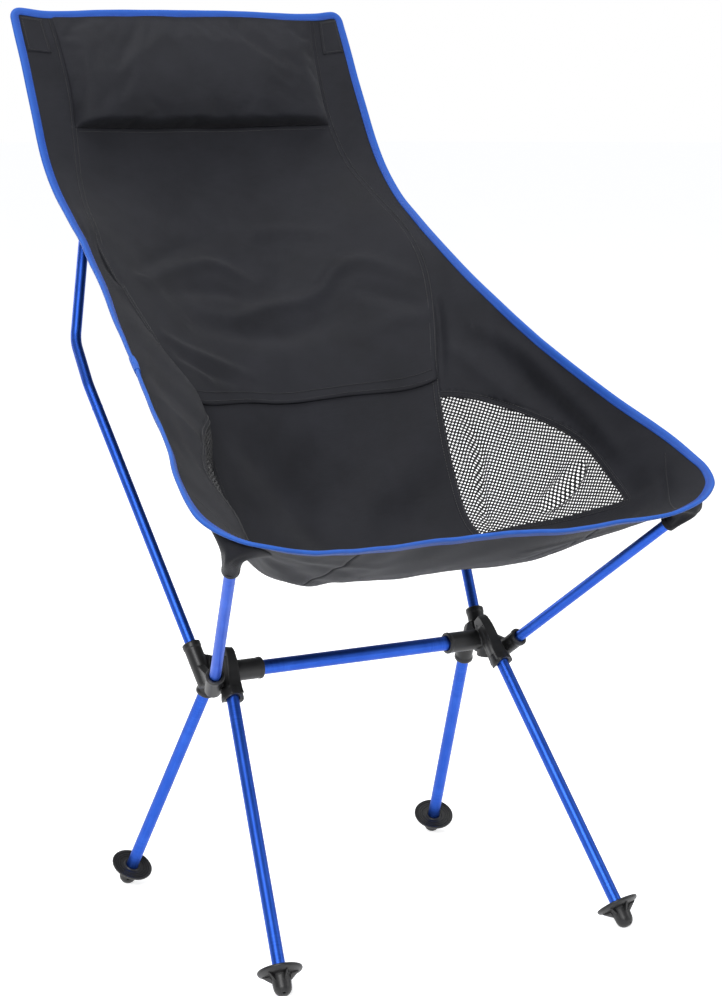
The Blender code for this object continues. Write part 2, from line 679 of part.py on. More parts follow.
def window_curve(inner_s, room):
    """The window's edge from the top of the seam round to its bottom, moved out by room."""
    top = Vector((inner_s, WINDOW_TOP_T - room * 0.25))
    low = Vector((inner_s, WINDOW_LOW_T + room * 0.25))
    tip = WINDOW_TIP + Vector((room * 0.4, room))
    outer = bowed(top, WINDOW_OUTER_PULL + Vector((room, -room * 0.3)), tip, 8)
    lower = bowed(tip, WINDOW_LOWER_PULL + Vector((-room * 0.2, room * 0.5)), low, 6)
    return outer + lower[1:]


def make_cloth():
    inner = SEAM_S - SEAM_ROOM_IN
    flat_layer("back_panel", [(-inner, 0), (inner, 0), (inner, HEM_T - HEM_ROOM), (-inner, HEM_T - HEM_ROOM)],
               FABRIC, CLOTH_BLACK)
    flat_layer("seat_panel", [(-inner, HEM_T + HEM_ROOM), (inner, HEM_T + HEM_ROOM), (inner, 1), (-inner, 1)],
               FABRIC, CLOTH_BLACK)
    outer = SEAM_S + SEAM_ROOM_OUT
    for side in (1, -1):
        hole = [tuple(point) for point in window_curve(outer, WINDOW_ROOM)]
        outline = [(outer, 0), (1, 0), (1, 1), (outer, 1)] + hole[::-1]
        flat_layer("side_panel_" + side_name(side), [(s * side, t) for s, t in outline], FABRIC, CLOTH_BLACK)
        window = [tuple(point) for point in window_curve(outer, 0.0)]
        flat_layer("mesh_window_" + side_name(side), [(s * side, t) for s, t in window], MESH_CLOTH, NET_BLACK)


def make_bindings():
    end = 0.012
    for side in (1, -1):
        path = [sling(side, t) for t in np.linspace(end, 1 - end, 30)]
        swept("binding_" + side_name(side), path, BINDING_RADIUS, PIPING_BLUE, None, BINDING_STEPS)
    corner = 0.045
    top = [sling(s, 0.0) for s in np.linspace(-1 + corner, 1 - corner, 12)]
    swept("binding_top", top, BINDING_RADIUS, PIPING_BLUE, None, BINDING_STEPS)
    front = [sling(s, 1.0) for s in np.linspace(-1 + corner, 1 - corner, 24)]
    swept("binding_front", front, BINDING_RADIUS, PIPING_BLUE, None, BINDING_STEPS)


def pillow_rise(s, t, half_width, top, bottom):
    """The pillow's height above the cloth: full over its middle and falling to the edges."""
    u = min(1.0, abs(s) / half_width)
    v = min(1.0, max(0.0, (t - top) / (bottom - top)))
    across = (1 - u**4) ** 0.6
    down = max(0.0, math.sin(math.pi * v**0.85)) ** 0.6
    return across * down


def make_pillow():
    half = SEAM_S - 0.012
    top = 0.004
    base = FABRIC / 2 + PILLOW_ROOM
    skin_thickness = 0.0012

    def cover_low(s, t):
        return base + (PILLOW_HEIGHT - skin_thickness) * pillow_rise(s, t, half, top, PILLOW_T)

    def cover_high(s, t):
        return cover_low(s, t) + skin_thickness

    outline = [(-half, top), (half, top), (half, PILLOW_T), (-half, PILLOW_T)]
    layer("pillow_cover", outline, cover_low, cover_high, CLOTH_BLACK, 0.024)

    pad = 0.028

    def foam_low(s, t):
        return base

    def foam_high(s, t):
        return base + 0.002 + (PILLOW_HEIGHT - 0.008) * pillow_rise(s, t, half - pad, top + pad, PILLOW_T - pad)

    outline = [(-half + pad, top + pad), (half - pad, top + pad), (half - pad, PILLOW_T - pad),
               (-half + pad, PILLOW_T - pad)]
    layer("pillow_foam", outline, foam_low, foam_high, FOAM_GREY, 0.028)


def main():
    for obj in list(bpy.data.objects):
        bpy.data.objects.remove(obj)
    for side in (1, -1):
        make_hub(side)
        make_legs(side)
        make_seat_pole(side)
        make_back_pole(side)
    make_crossbar()
    make_cloth()
    make_bindings()
    make_pillow()


main()
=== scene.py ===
"""Looks of the high-back backpacking chair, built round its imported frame.

Metres, +Z up, the sitter faces -Y, "right" is +X. The frame gives every tube, socket and foot its place.
The hung cloth is the same net of points as the design's, so its pieces lie where the solids are.
"""

import math

import bmesh
import bpy
import numpy as np
from mathutils import Matrix, Vector, geometry


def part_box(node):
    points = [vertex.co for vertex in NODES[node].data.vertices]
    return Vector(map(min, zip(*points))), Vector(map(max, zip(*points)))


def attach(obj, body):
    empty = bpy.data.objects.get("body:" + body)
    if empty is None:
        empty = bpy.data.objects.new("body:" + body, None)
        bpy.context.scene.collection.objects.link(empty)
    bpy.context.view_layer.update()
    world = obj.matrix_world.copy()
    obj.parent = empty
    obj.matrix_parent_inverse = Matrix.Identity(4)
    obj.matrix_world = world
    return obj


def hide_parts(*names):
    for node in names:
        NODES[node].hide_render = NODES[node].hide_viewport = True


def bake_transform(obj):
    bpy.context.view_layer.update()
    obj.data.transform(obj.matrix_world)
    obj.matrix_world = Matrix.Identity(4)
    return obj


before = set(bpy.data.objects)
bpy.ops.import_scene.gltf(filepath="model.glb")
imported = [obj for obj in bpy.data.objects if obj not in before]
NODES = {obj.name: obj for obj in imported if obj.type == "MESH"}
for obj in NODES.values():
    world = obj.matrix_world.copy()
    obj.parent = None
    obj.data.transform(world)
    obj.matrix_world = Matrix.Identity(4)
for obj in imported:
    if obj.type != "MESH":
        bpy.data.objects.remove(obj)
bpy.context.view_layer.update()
SIDES = {"right": 1.0, "left": -1.0}

# ---------------------------------------------------------------- driving dimensions
LEG_TUBE_DEPTH = 0.004      # how far the leg tube sits in its socket
SOCKET_DEPTH = 0.022        # and the poles and the crossbar
FOOT_SOCKET = 0.0117        # the leg's reach below the foot's disc
FOOT_DISC_RADIUS = 0.0230
FOOT_BALL_RADIUS = 0.0093
LEG_RADIUS = 0.0066
POLE_RADIUS = 0.0059
BAR_RADIUS = 0.0079
CORD_RADIUS = 0.0015
TUBE_WALL = 0.0009
FIT = 0.00035

CLOTH = 0.0011              # thickness of the cloth
SEAM_S = 0.62               # the seams and the pillow's lower edge, in the net's own terms
PILLOW_T = 0.160
TAPE_OUT = 0.0034           # the edge tape's fold stands this far outside the cloth's edge
TAPE_IN = 0.0064            # and its sewn edges lie this far inside
TAPE_HALF = 0.0021          # half its thickness at the fold
STITCH = 0.0024             # length of a stitch
STITCH_PITCH = 0.0034
THREAD = 0.00030            # thread radius


# ---------------------------------------------------------------- node materials
def shader(name, colour, roughness, metallic=0.0, **sockets):
    """A Principled material. Constants go straight on its sockets."""
    material = bpy.data.materials.new(name)
    material.use_nodes = True
    principled = material.node_tree.nodes["Principled BSDF"]
    principled.inputs["Base Color"].default_value = (*colour, 1.0)
    principled.inputs["Roughness"].default_value = roughness
    principled.inputs["Metallic"].default_value = metallic
    for socket, value in sockets.items():
        principled.inputs[socket.replace("_", " ")].default_value = value
    return material, principled


class Tree:
    """Short ways to add nodes to a material."""

    def __init__(self, material):
        self.nodes = material.node_tree.nodes
        self.links = material.node_tree.links

    def add(self, kind, **inputs):
        node = self.nodes.new(kind)
        for name, value in inputs.items():
            self.put(node.inputs[name.replace("_", " ")], value)
        return node

    def put(self, socket, value):
        if isinstance(value, bpy.types.NodeSocket):
            self.links.new(value, socket)
        else:
            socket.default_value = value

    def math(self, operation, first, second=0.0):
        node = self.nodes.new("ShaderNodeMath")
        node.operation = operation
        self.put(node.inputs[0], first)
        self.put(node.inputs[1], second)
        return node.outputs[0]

    def place(self):
        """Lengths on the piece's own surface, in metres: across, along, and a share that its maker sets."""
        node = self.nodes.new("ShaderNodeAttribute")
        node.attribute_name = "place"
        split = self.add("ShaderNodeSeparateXYZ", Vector=node.outputs["Vector"])
        return node.outputs["Vector"], split.outputs[0], split.outputs[1], split.outputs[2]

    def stretched(self, vector, scale):
        node = self.nodes.new("ShaderNodeMapping")
        self.put(node.inputs["Vector"], vector)
        node.inputs["Scale"].default_value = scale
        return node.outputs["Vector"]

    def noise(self, vector, scale, detail=3.0, roughness=0.5):
        node = self.add("ShaderNodeTexNoise", Vector=vector, Scale=scale, Detail=detail, Roughness=roughness)
        return node.outputs["Fac"]

    def between(self, factor, low, high):
        """Maps 0..1 to low..high."""
        node = self.add("ShaderNodeMapRange", Value=factor)
        node.inputs["To Min"].default_value = low
        node.inputs["To Max"].default_value = high
        return node.outputs["Result"]

    def ramp(self, factor, stops):
        node = self.add("ShaderNodeValToRGB", Fac=factor)
        elements = node.color_ramp.elements
        for element, (at, colour) in zip(elements, stops[:2]):
            element.position = at
            element.color = (*colour, 1.0)
        for at, colour in stops[2:]:
            element = elements.new(at)
            element.color = (*colour, 1.0)
        return node.outputs["Color"]

    def bump(self, height, distance, strength=1.0, normal=None):
        node = self.add("ShaderNodeBump", Height=height, Distance=distance, Strength=strength)
        if normal is not None:
            self.links.new(normal, node.inputs["Normal"])
        return node.outputs["Normal"]

    def object_place(self):
        return self.nodes.new("ShaderNodeTexCoord").outputs["Object"]


def woven(name, dark, light, pitch, roughness, sheen):
    """Plain-woven cloth: yarns that cross over and under, uneven dye, faint rubbed patches."""
    material, principled = shader(name, dark, roughness, Sheen_Weight=sheen, Sheen_Roughness=0.5,
                                  Specular_IOR_Level=0.13)
    tree = Tree(material)
    place, across, along, _ = tree.place()
    turn = 2 * math.pi / pitch
    warp = tree.math("SINE", tree.math("MULTIPLY", across, turn))
    weft = tree.math("SINE", tree.math("MULTIPLY", along, turn))
    crossing = tree.math("MULTIPLY", warp, weft)
    slub = tree.noise(tree.stretched(place, (60.0, 900.0, 1.0)), 1.0, 2.0)
    cloud = tree.noise(place, 14.0, 4.0, 0.6)
    shade = tree.math("ADD", tree.math("MULTIPLY", cloud, 0.75), tree.math("MULTIPLY", slub, 0.25))
    principled_colour = tree.ramp(shade, [(0.30, dark), (0.72, light)])
    tree.links.new(principled_colour, principled.inputs["Base Color"])
    tree.links.new(tree.between(cloud, roughness - 0.10, roughness + 0.08), principled.inputs["Roughness"])
    grain = tree.math("ADD", crossing, tree.math("MULTIPLY", slub, 1.4))
    tree.links.new(tree.bump(grain, 0.00007, 0.45), principled.inputs["Normal"])
    return material


def taped(name, dark, light):
    """Woven edge tape: fine ribs across its length, a sewn dip, and a paler rubbed fold."""
    material, principled = shader(name, dark, 0.55, Sheen_Weight=0.12, Sheen_Roughness=0.4,
                                  Specular_IOR_Level=0.35)
    tree = Tree(material)
    place, _, along, fold = tree.place()
    rib = tree.math("SINE", tree.math("MULTIPLY", along, 2 * math.pi / 0.0011))
    cloud = tree.noise(place, 45.0, 3.0, 0.6)
    shade = tree.math("ADD", tree.math("MULTIPLY", cloud, 0.7), tree.math("MULTIPLY", fold, 0.35))
    tree.links.new(tree.ramp(shade, [(0.25, dark), (0.85, light)]), principled.inputs["Base Color"])
    tree.links.new(tree.between(cloud, 0.46, 0.64), principled.inputs["Roughness"])
    tree.links.new(tree.bump(rib, 0.00009, 0.5), principled.inputs["Normal"])
    return material


def anodised(name, deep, bright, roughness):
    """Dyed anodised tube: drawn lines along it, a slightly cloudy dye, scuffs where it enters its sockets."""
    material, principled = shader(name, deep, roughness, 1.0)
    tree = Tree(material)
    place, _, _, end_share = tree.place()
    drawn = tree.noise(tree.stretched(place, (2600.0, 22.0, 1.0)), 1.0, 3.0, 0.7)
    cloud = tree.noise(place, 28.0, 3.0)
    dye = tree.ramp(tree.math("ADD", tree.math("MULTIPLY", drawn, 0.55), tree.math("MULTIPLY", cloud, 0.45)),
                    [(0.30, deep), (0.72, bright)])
    fleck = tree.noise(tree.stretched(place, (900.0, 260.0, 1.0)), 1.0, 5.0, 0.75)
    scuffed = tree.math("MULTIPLY", tree.math("GREATER_THAN", fleck, 0.66), end_share)
    mix = tree.nodes.new("ShaderNodeMix")
    mix.data_type = "RGBA"
    tree.links.new(scuffed, mix.inputs["Factor"])
    tree.links.new(dye, mix.inputs["A"])
    mix.inputs["B"].default_value = (0.20, 0.30, 0.62, 1.0)
    tree.links.new(mix.outputs["Result"], principled.inputs["Base Color"])
    tree.links.new(tree.between(drawn, roughness - 0.05, roughness + 0.09), principled.inputs["Roughness"])
    tree.links.new(tree.bump(drawn, 0.000012, 0.6), principled.inputs["Normal"])
    return material


def moulded(name, dark, light, roughness):
    """Spark-textured black moulding with faint flow marks, edges rubbed paler as wear, and hollows darkened as
    painted shade.
    """
    material, principled = shader(name, dark, roughness, Specular_IOR_Level=0.45)
    tree = Tree(material)
    place = tree.object_place()
    grit = tree.noise(place, 2400.0, 2.0)
    flow = tree.noise(tree.stretched(place, (30.0, 30.0, 90.0)), 1.0, 4.0, 0.6)
    # Pointiness: sharp edges turn paler as wear, while hollows and inner corners turn darker as painted shade.
    edge = tree.nodes.new("ShaderNodeNewGeometry").outputs["Pointiness"]
    edge_wear_and_hollow_shade = tree.between(edge, -1.6, 2.4)
    shade = tree.math("ADD", tree.math("MULTIPLY", flow, 0.5), tree.math("MULTIPLY", edge_wear_and_hollow_shade, 0.6))
    tree.links.new(tree.ramp(shade, [(0.35, dark), (0.95, light)]), principled.inputs["Base Color"])
    tree.links.new(tree.between(flow, roughness - 0.08, roughness + 0.10), principled.inputs["Roughness"])
    tree.links.new(tree.bump(grit, 0.00004, 0.35), principled.inputs["Normal"])
    return material


def braided(name, dark, light):
    """Braided sleeve of the elastic cord."""
    material, principled = shader(name, dark, 0.8, Sheen_Weight=0.3)
    tree = Tree(material)
    place, around, along, _ = tree.place()
    right = tree.math("SINE", tree.math("MULTIPLY", tree.math("ADD", around, along), 2 * math.pi / 0.0012))
    left = tree.math("SINE", tree.math("MULTIPLY", tree.math("SUBTRACT", around, along), 2 * math.pi / 0.0012))
    strands = tree.math("MAXIMUM", right, left)
    tree.links.new(tree.ramp(tree.between(strands, 0.0, 1.0), [(0.1, dark), (0.9, light)]),
                   principled.inputs["Base Color"])
    tree.links.new(tree.bump(strands, 0.00012, 0.7), principled.inputs["Normal"])
    return material


def twisted(name, dark, light):
    """Sewing thread: plies that wind round it, with a dull shine."""
    material, principled = shader(name, dark, 0.45, Sheen_Weight=0.2)
    tree = Tree(material)
    place, around, along, _ = tree.place()
    ply = tree.math("SINE", tree.math("MULTIPLY", tree.math("ADD", around, along), 2 * math.pi / 0.0006))
    tree.links.new(tree.ramp(tree.between(ply, 0.0, 1.0), [(0.2, dark), (0.9, light)]),
                   principled.inputs["Base Color"])
    return material


def plain_floor(name):
    """Pale paper, lit from below as well so that it stays even to the horizon."""
    material, principled = shader(name, (0.92, 0.92, 0.92), 0.9, Specular_IOR_Level=0.1, Emission_Strength=0.66,
                                  Emission_Color=(1.0, 1.0, 1.0, 1.0))
    tree = Tree(material)
    cloud = tree.noise(tree.object_place(), 3.0, 2.0)
    tree.links.new(tree.ramp(cloud, [(0.3, (0.915, 0.915, 0.915)), (0.7, (0.93, 0.93, 0.93))]),
                   principled.inputs["Base Color"])
    return material


BLACK_CLOTH = woven("black_cloth", (0.0116, 0.0119, 0.0152), (0.0208, 0.0213, 0.0268), 0.00062, 0.60, 0.06)
NET_THREAD = woven("net_thread", (0.010, 0.010, 0.011), (0.022, 0.022, 0.024), 0.0009, 0.75, 0.15)
BLUE_TAPE = taped("blue_tape", (0.010, 0.070, 0.38), (0.020, 0.125, 0.56))
BLUE_TUBE = anodised("blue_anodised", (0.017, 0.070, 0.41), (0.042, 0.134, 0.60), 0.43)
BLACK_MOULDING = moulded("black_moulding", (0.0065, 0.0065, 0.0070), (0.026, 0.026, 0.027), 0.42)
PLUG_MOULDING = moulded("plug_moulding", (0.020, 0.020, 0.021), (0.060, 0.060, 0.062), 0.50)
CORD_SLEEVE = braided("cord_sleeve", (0.015, 0.015, 0.016), (0.075, 0.075, 0.080))
BLACK_THREAD = twisted("black_thread", (0.010, 0.010, 0.011), (0.040, 0.040, 0.044))
BLUE_THREAD = twisted("blue_thread", (0.008, 0.050, 0.36), (0.030, 0.140, 0.70))
BARE_TUBE = anodised("bare_aluminium", (0.55, 0.56, 0.58), (0.74, 0.75, 0.77), 0.34)


# ---------------------------------------------------------------- mesh building
def unit(vector):
    return vector / np.linalg.norm(vector)


def units(vectors):
    return vectors / np.maximum(np.linalg.norm(vectors, axis=-1, keepdims=True), 1e-12)


def run_lengths(points):
    """How far along a line each of its points is."""
    return np.concatenate([[0.0], np.cumsum(np.linalg.norm(np.diff(points, axis=0), axis=1))])


def grid_faces(columns, rows):
    """Quads between the points of a grid, counted row by row."""
    corners = [(j * columns + i, (j + 1) * columns + i) for j in range(rows - 1) for i in range(columns - 1)]
    return [(a, a + 1, b + 1, b) for a, b in corners]


def grid_places(s_values, t_values):
    """s and t of the points of a grid, row by row."""
    s, t = np.meshgrid(s_values, t_values)
    return s.ravel(), t.ravel()


def prism_faces(count):
    """Faces of a straight prism: one end's points, then the other's."""
    sides = [(k, (k + 1) % count, count + (k + 1) % count, count + k) for k in range(count)]
    return [tuple(range(count)), tuple(range(2 * count - 1, count - 1, -1))] + sides


def add_piece(name, points, faces, material, place=None, body="frame", replaces=(), smooth=45):
    """A mesh object that rides on a body. place is the attribute that its material reads."""
    mesh = bpy.data.meshes.new(name)
    mesh.from_pydata([tuple(p) for p in points], [], [tuple(int(k) for k in face) for face in faces])
    if place is not None:
        attribute = mesh.attributes.new("place", "FLOAT_VECTOR", "POINT")
        attribute.data.foreach_set("vector", np.asarray(place, np.float32).ravel())
    mesh.materials.append(material)
    mesh.validate()
    fix = bmesh.new()
    fix.from_mesh(mesh)
    bmesh.ops.recalc_face_normals(fix, faces=fix.faces)
    fix.to_mesh(mesh)
    fix.free()
    mesh.shade_smooth()
    mesh.set_sharp_from_angle(angle=math.radians(smooth))
    piece = bpy.data.objects.new(name, mesh)
    bpy.context.scene.collection.objects.link(piece)
    return settle(piece, body, replaces)


def settle(piece, body, replaces):
    if body is not None:
        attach(piece, body)
    if replaces:
        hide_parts(*replaces)
    return piece


def ring_faces(rings, sides, closed_rings=False):
    """Quads between consecutive rings of the same number of points."""
    faces = []
    for i in range(rings if closed_rings else rings - 1):
        a = i * sides
        b = ((i + 1) % rings) * sides
        for k in range(sides):
            n = (k + 1) % sides
            faces.append((a + k, a + n, b + n, b + k))
    return faces


def spun(profile, origin, axis, steps=64):
    """Points, faces and places of (radius, height) pairs turned about an axis, on which its ends may lie."""
    axis = unit(np.asarray(axis, float))
    helper = np.array([0.0, 0.0, 1.0]) if abs(axis[2]) < 0.9 else np.array([0.0, 1.0, 0.0])
    first = unit(np.cross(helper, axis))
    second = np.cross(axis, first)
    angles = np.linspace(0, 2 * math.pi, steps, endpoint=False)
    points = []
    faces = []
    places = []
    rings = []
    for radius, height in profile:
        start = len(points)
        if radius < 1e-7:
            points.append(origin + axis * height)
            places.append((0.0, height, 0.0))
            rings.append((start, 1))
            continue
        for angle in angles:
            outward = first * math.cos(angle) + second * math.sin(angle)
            points.append(origin + axis * height + outward * radius)
            places.append((angle * radius, height, 0.0))
        rings.append((start, steps))
    for (a, a_count), (b, b_count) in zip(rings, rings[1:]):
        for k in range(steps):
            n = (k + 1) % steps
            if a_count == 1:
                faces.append((a, b + k, b + n))
            elif b_count == 1:
                faces.append((a + k, b, a + n))
            else:
                faces.append((a + k, a + n, b + n, b + k))
    return np.array(points), faces, np.array(places)


def rounded_profile(corners, radius, steps=4):
    """A profile whose inner corners are rounded, for edges that a mould leaves soft."""
    done = [corners[0]]
    for before, corner, after in zip(corners, corners[1:], corners[2:]):
        before, corner, after = (np.array(p, float) for p in (before, corner, after))
        into = corner - before
        out = after - corner
        reach = min(radius, np.linalg.norm(into) * 0.45, np.linalg.norm(out) * 0.45)
        start = corner - unit(into) * reach
        end = corner + unit(out) * reach
        for u in np.linspace(0, 1, steps):
            done.append(tuple(start * (1 - u) ** 2 + corner * 2 * u * (1 - u) + end * u**2))
    return done + [corners[-1]]


def resampled(path, spacing):
    path = np.asarray(path, float)
    lengths = run_lengths(path)
    count = max(2, int(round(lengths[-1] / spacing)) + 1)
    at = np.linspace(0, lengths[-1], count)
    return np.stack([np.interp(at, lengths, path[:, k]) for k in range(path.shape[1])], axis=1)


def carried_frames(path):
    """Two unit vectors across a path at each of its points, carried along without twist."""
    ahead = units(np.gradient(path, axis=0))
    helper = np.array([0.0, 0.0, 1.0]) if abs(ahead[0][2]) < 0.9 else np.array([0.0, 1.0, 0.0])
    across = unit(np.cross(helper, ahead[0]))
    firsts = []
    for direction in ahead:
        across = unit(across - direction * (across @ direction))
        firsts.append(across)
    firsts = np.array(firsts)
    return firsts, np.cross(ahead, firsts)


def pipe(name, path, outer, material, wall=None, sides=40, ends=0.0, body="frame", replaces=()):
    """A round tube or rod along a path. The share in its places is 1 near its ends, over the length ends."""
    path = np.asarray(path, float)
    first, second = carried_frames(path)
    lengths = run_lengths(path)
    angles = np.linspace(0, 2 * math.pi, sides, endpoint=False)
    edge = min(0.0003, outer * 0.2)
    last = len(path) - 1
    stations = [(0, outer - edge)] + [(i, outer) for i in range(len(path))] + [(last, outer - edge)]
    if wall is not None:
        stations = [(0, outer - wall)] + stations + [(i, outer - wall) for i in range(last, 0, -1)]
    points = []
    places = []
    for i, radius in stations:
        shift = 0.0
        if radius == outer and i == 0:
            shift = edge
        if radius == outer and i == last:
            shift = -edge
        direction = np.cross(first[i], second[i])
        near_end = min(lengths[i], lengths[-1] - lengths[i])
        share = 0.0 if ends <= 0 else max(0.0, 1.0 - near_end / ends)
        for angle in angles:
            points.append(path[i] + direction * shift
                          + (first[i] * math.cos(angle) + second[i] * math.sin(angle)) * radius)
            places.append((angle * outer, lengths[i], share))
    faces = ring_faces(len(stations), sides, closed_rings=wall is not None)
    if wall is None:
        faces.append(tuple(range(sides)))
        faces.append(tuple(range(len(points) - sides, len(points))))
    return add_piece(name, points, faces, material, places, body, replaces, smooth=35)


# ---------------------------------------------------------------- what the frame says
def axis_of(node):
    """The ends of a straight tube's centre line, the lower one first."""
    points = np.array([v.co for v in NODES[node].data.vertices], float)
    centre = points.mean(axis=0)
    direction = np.linalg.svd(points - centre, full_matrices=False)[2][0]
    if direction[2] < 0:
        direction = -direction
    along = (points - centre) @ direction
    low = points[along < along.min() + 1e-4].mean(axis=0)
    high = points[along > along.max() - 1e-4].mean(axis=0)
    return low, high


# ---------------------------------------------------------------- the hung cloth
# Right half of the cloth. A row runs across the chair: edge, middle of the side panel, seam, centre line.
NET = np.array([
    [(0.213, 0.3465, 0.966), (0.193, 0.3435, 0.964), (0.172, 0.3395, 0.962), (0.0, 0.3455, 0.965)],
    [(0.213, 0.2905, 0.867), (0.190, 0.2925, 0.866), (0.166, 0.2945, 0.865), (0.0, 0.3115, 0.862)],
    [(0.215, 0.2305, 0.777), (0.198, 0.2345, 0.777), (0.179, 0.2395, 0.777), (0.0, 0.2755, 0.770)],
    [(0.217, 0.1605, 0.727), (0.207, 0.1605, 0.724), (0.195, 0.1565, 0.720), (0.0, 0.2055, 0.690)],
    [(0.223, 0.0775, 0.678), (0.207, 0.0755, 0.664), (0.188, 0.0795, 0.652), (0.0, 0.1275, 0.610)],
    [(0.234, 0.0125, 0.640), (0.200, -0.0005, 0.588), (0.156, 0.0065, 0.550), (0.0, 0.0525, 0.528)],
    [(0.246, -0.0625, 0.600), (0.203, -0.0725, 0.500), (0.143, -0.0585, 0.444), (0.0, -0.0195, 0.420)],
    [(0.257, -0.1245, 0.571), (0.206, -0.1275, 0.450), (0.138, -0.1055, 0.403), (0.0, -0.0895, 0.373)],
    [(0.270, -0.1925, 0.541), (0.212, -0.1975, 0.425), (0.141, -0.1925, 0.389), (0.0, -0.1755, 0.376)],
    [(0.287, -0.2505, 0.514), (0.224, -0.2755, 0.437), (0.141, -0.2735, 0.410), (0.0, -0.2575, 0.400)],
    [(0.294, -0.3225, 0.482), (0.233, -0.3595, 0.458), (0.138, -0.3465, 0.446), (0.0, -0.3175, 0.441)],
])
ROWS = np.array([0.0, 0.12, 0.23, 0.32, 0.41, 0.5, 0.6, 0.68, 0.79, 0.9, 1.0])
COLUMNS = np.array([-1.0, -0.8, -SEAM_S, -0.31, 0.0, 0.31, SEAM_S, 0.8, 1.0])
MIRROR = np.array([-1.0, 1.0, 1.0])


def bend_matrix(stations):
    """Turns values at the stations into a natural cubic spline's second derivatives."""
    count = len(stations)
    steps = np.diff(stations)
    left = np.eye(count)
    right = np.zeros((count, count))
    for i in range(1, count - 1):
        left[i, i - 1 : i + 2] = steps[i - 1], 2 * (steps[i - 1] + steps[i]), steps[i]
        right[i, i - 1 : i + 2] = 6 / steps[i - 1], -6 / steps[i - 1] - 6 / steps[i], 6 / steps[i]
    return np.linalg.solve(left, right)


ROW_BENDS = bend_matrix(ROWS)
COLUMN_BENDS = bend_matrix(COLUMNS)


def spline_weights(stations, bends, at):
    """For each place, the share of every station's value in the spline there."""
    index = np.clip(np.searchsorted(stations, at) - 1, 0, len(stations) - 2)
    step = stations[index + 1] - stations[index]
    a = (stations[index + 1] - at) / step
    b = 1.0 - a
    weights = np.zeros((len(at), len(stations)))
    rows = np.arange(len(at))
    weights[rows, index] += a
    weights[rows, index + 1] += b
    weights += ((a**3 - a) * step**2 / 6)[:, None] * bends[index]
    weights += ((b**3 - b) * step**2 / 6)[:, None] * bends[index + 1]
    return weights


# The left side panel hangs slack and sags inwards, between the hem and the front corner.
SAG = 0.038
SAG_WAY = np.array([0.873, -0.488, 0.0])


def eased(x):
    x = np.clip(x, 0, 1)
    return x * x * (3 - 2 * x)


def sag(s, t):
    peak = 0.70 + 0.18 * np.clip((t - 0.50) / 0.12, 0, 1)
    share = np.where(-s > peak, (1 + s) / (1 - peak), (-s - SEAM_S) / (peak - SEAM_S))
    return SAG * eased((t - 0.40) / 0.16) * eased((1 - t) / 0.22) * eased(share)


def sling(s, t):
    """Points of the cloth: s runs across from -1 to 1, t from the top edge, 0, to the front edge, 1."""
    s = np.atleast_1d(np.asarray(s, float))
    t = np.atleast_1d(np.asarray(t, float))
    s, t = np.broadcast_arrays(s, t)
    row_weights = spline_weights(ROWS, ROW_BENDS, t)
    edge, wing, seam, centre = np.moveaxis(np.einsum("nr,rpc->npc", row_weights, NET), 1, 0)
    between = centre + (seam - centre) * np.array([0.5, 0.3, 0.3])
    half = [centre, between, seam, wing, edge]
    across = np.stack([point * MIRROR for point in half[:0:-1]] + half, axis=1)
    hung = np.einsum("nk,nkc->nc", spline_weights(COLUMNS, COLUMN_BENDS, s), across)
    return hung + sag(s, t)[:, None] * SAG_WAY


def sling_sides(s, t):
    """Unit vectors on the cloth: towards +s, towards +t, and out to the sitter's side."""
    step = 1e-3
    along_s = sling(s + step, t) - sling(s - step, t)
    along_t = sling(s, t + step) - sling(s, t - step)
    return units(along_s), units(along_t), units(np.cross(along_t, along_s))


def scale_at(s, t):
    """Metres for each unit of s and of t."""
    step = 1e-3
    s = np.asarray(s, float)
    t = np.asarray(t, float)
    per_s = np.linalg.norm(sling(s + step, t) - sling(s - step, t), axis=1) / (2 * step)
    per_t = np.linalg.norm(sling(s, t + step) - sling(s, t - step), axis=1) / (2 * step)
    return per_s, per_t


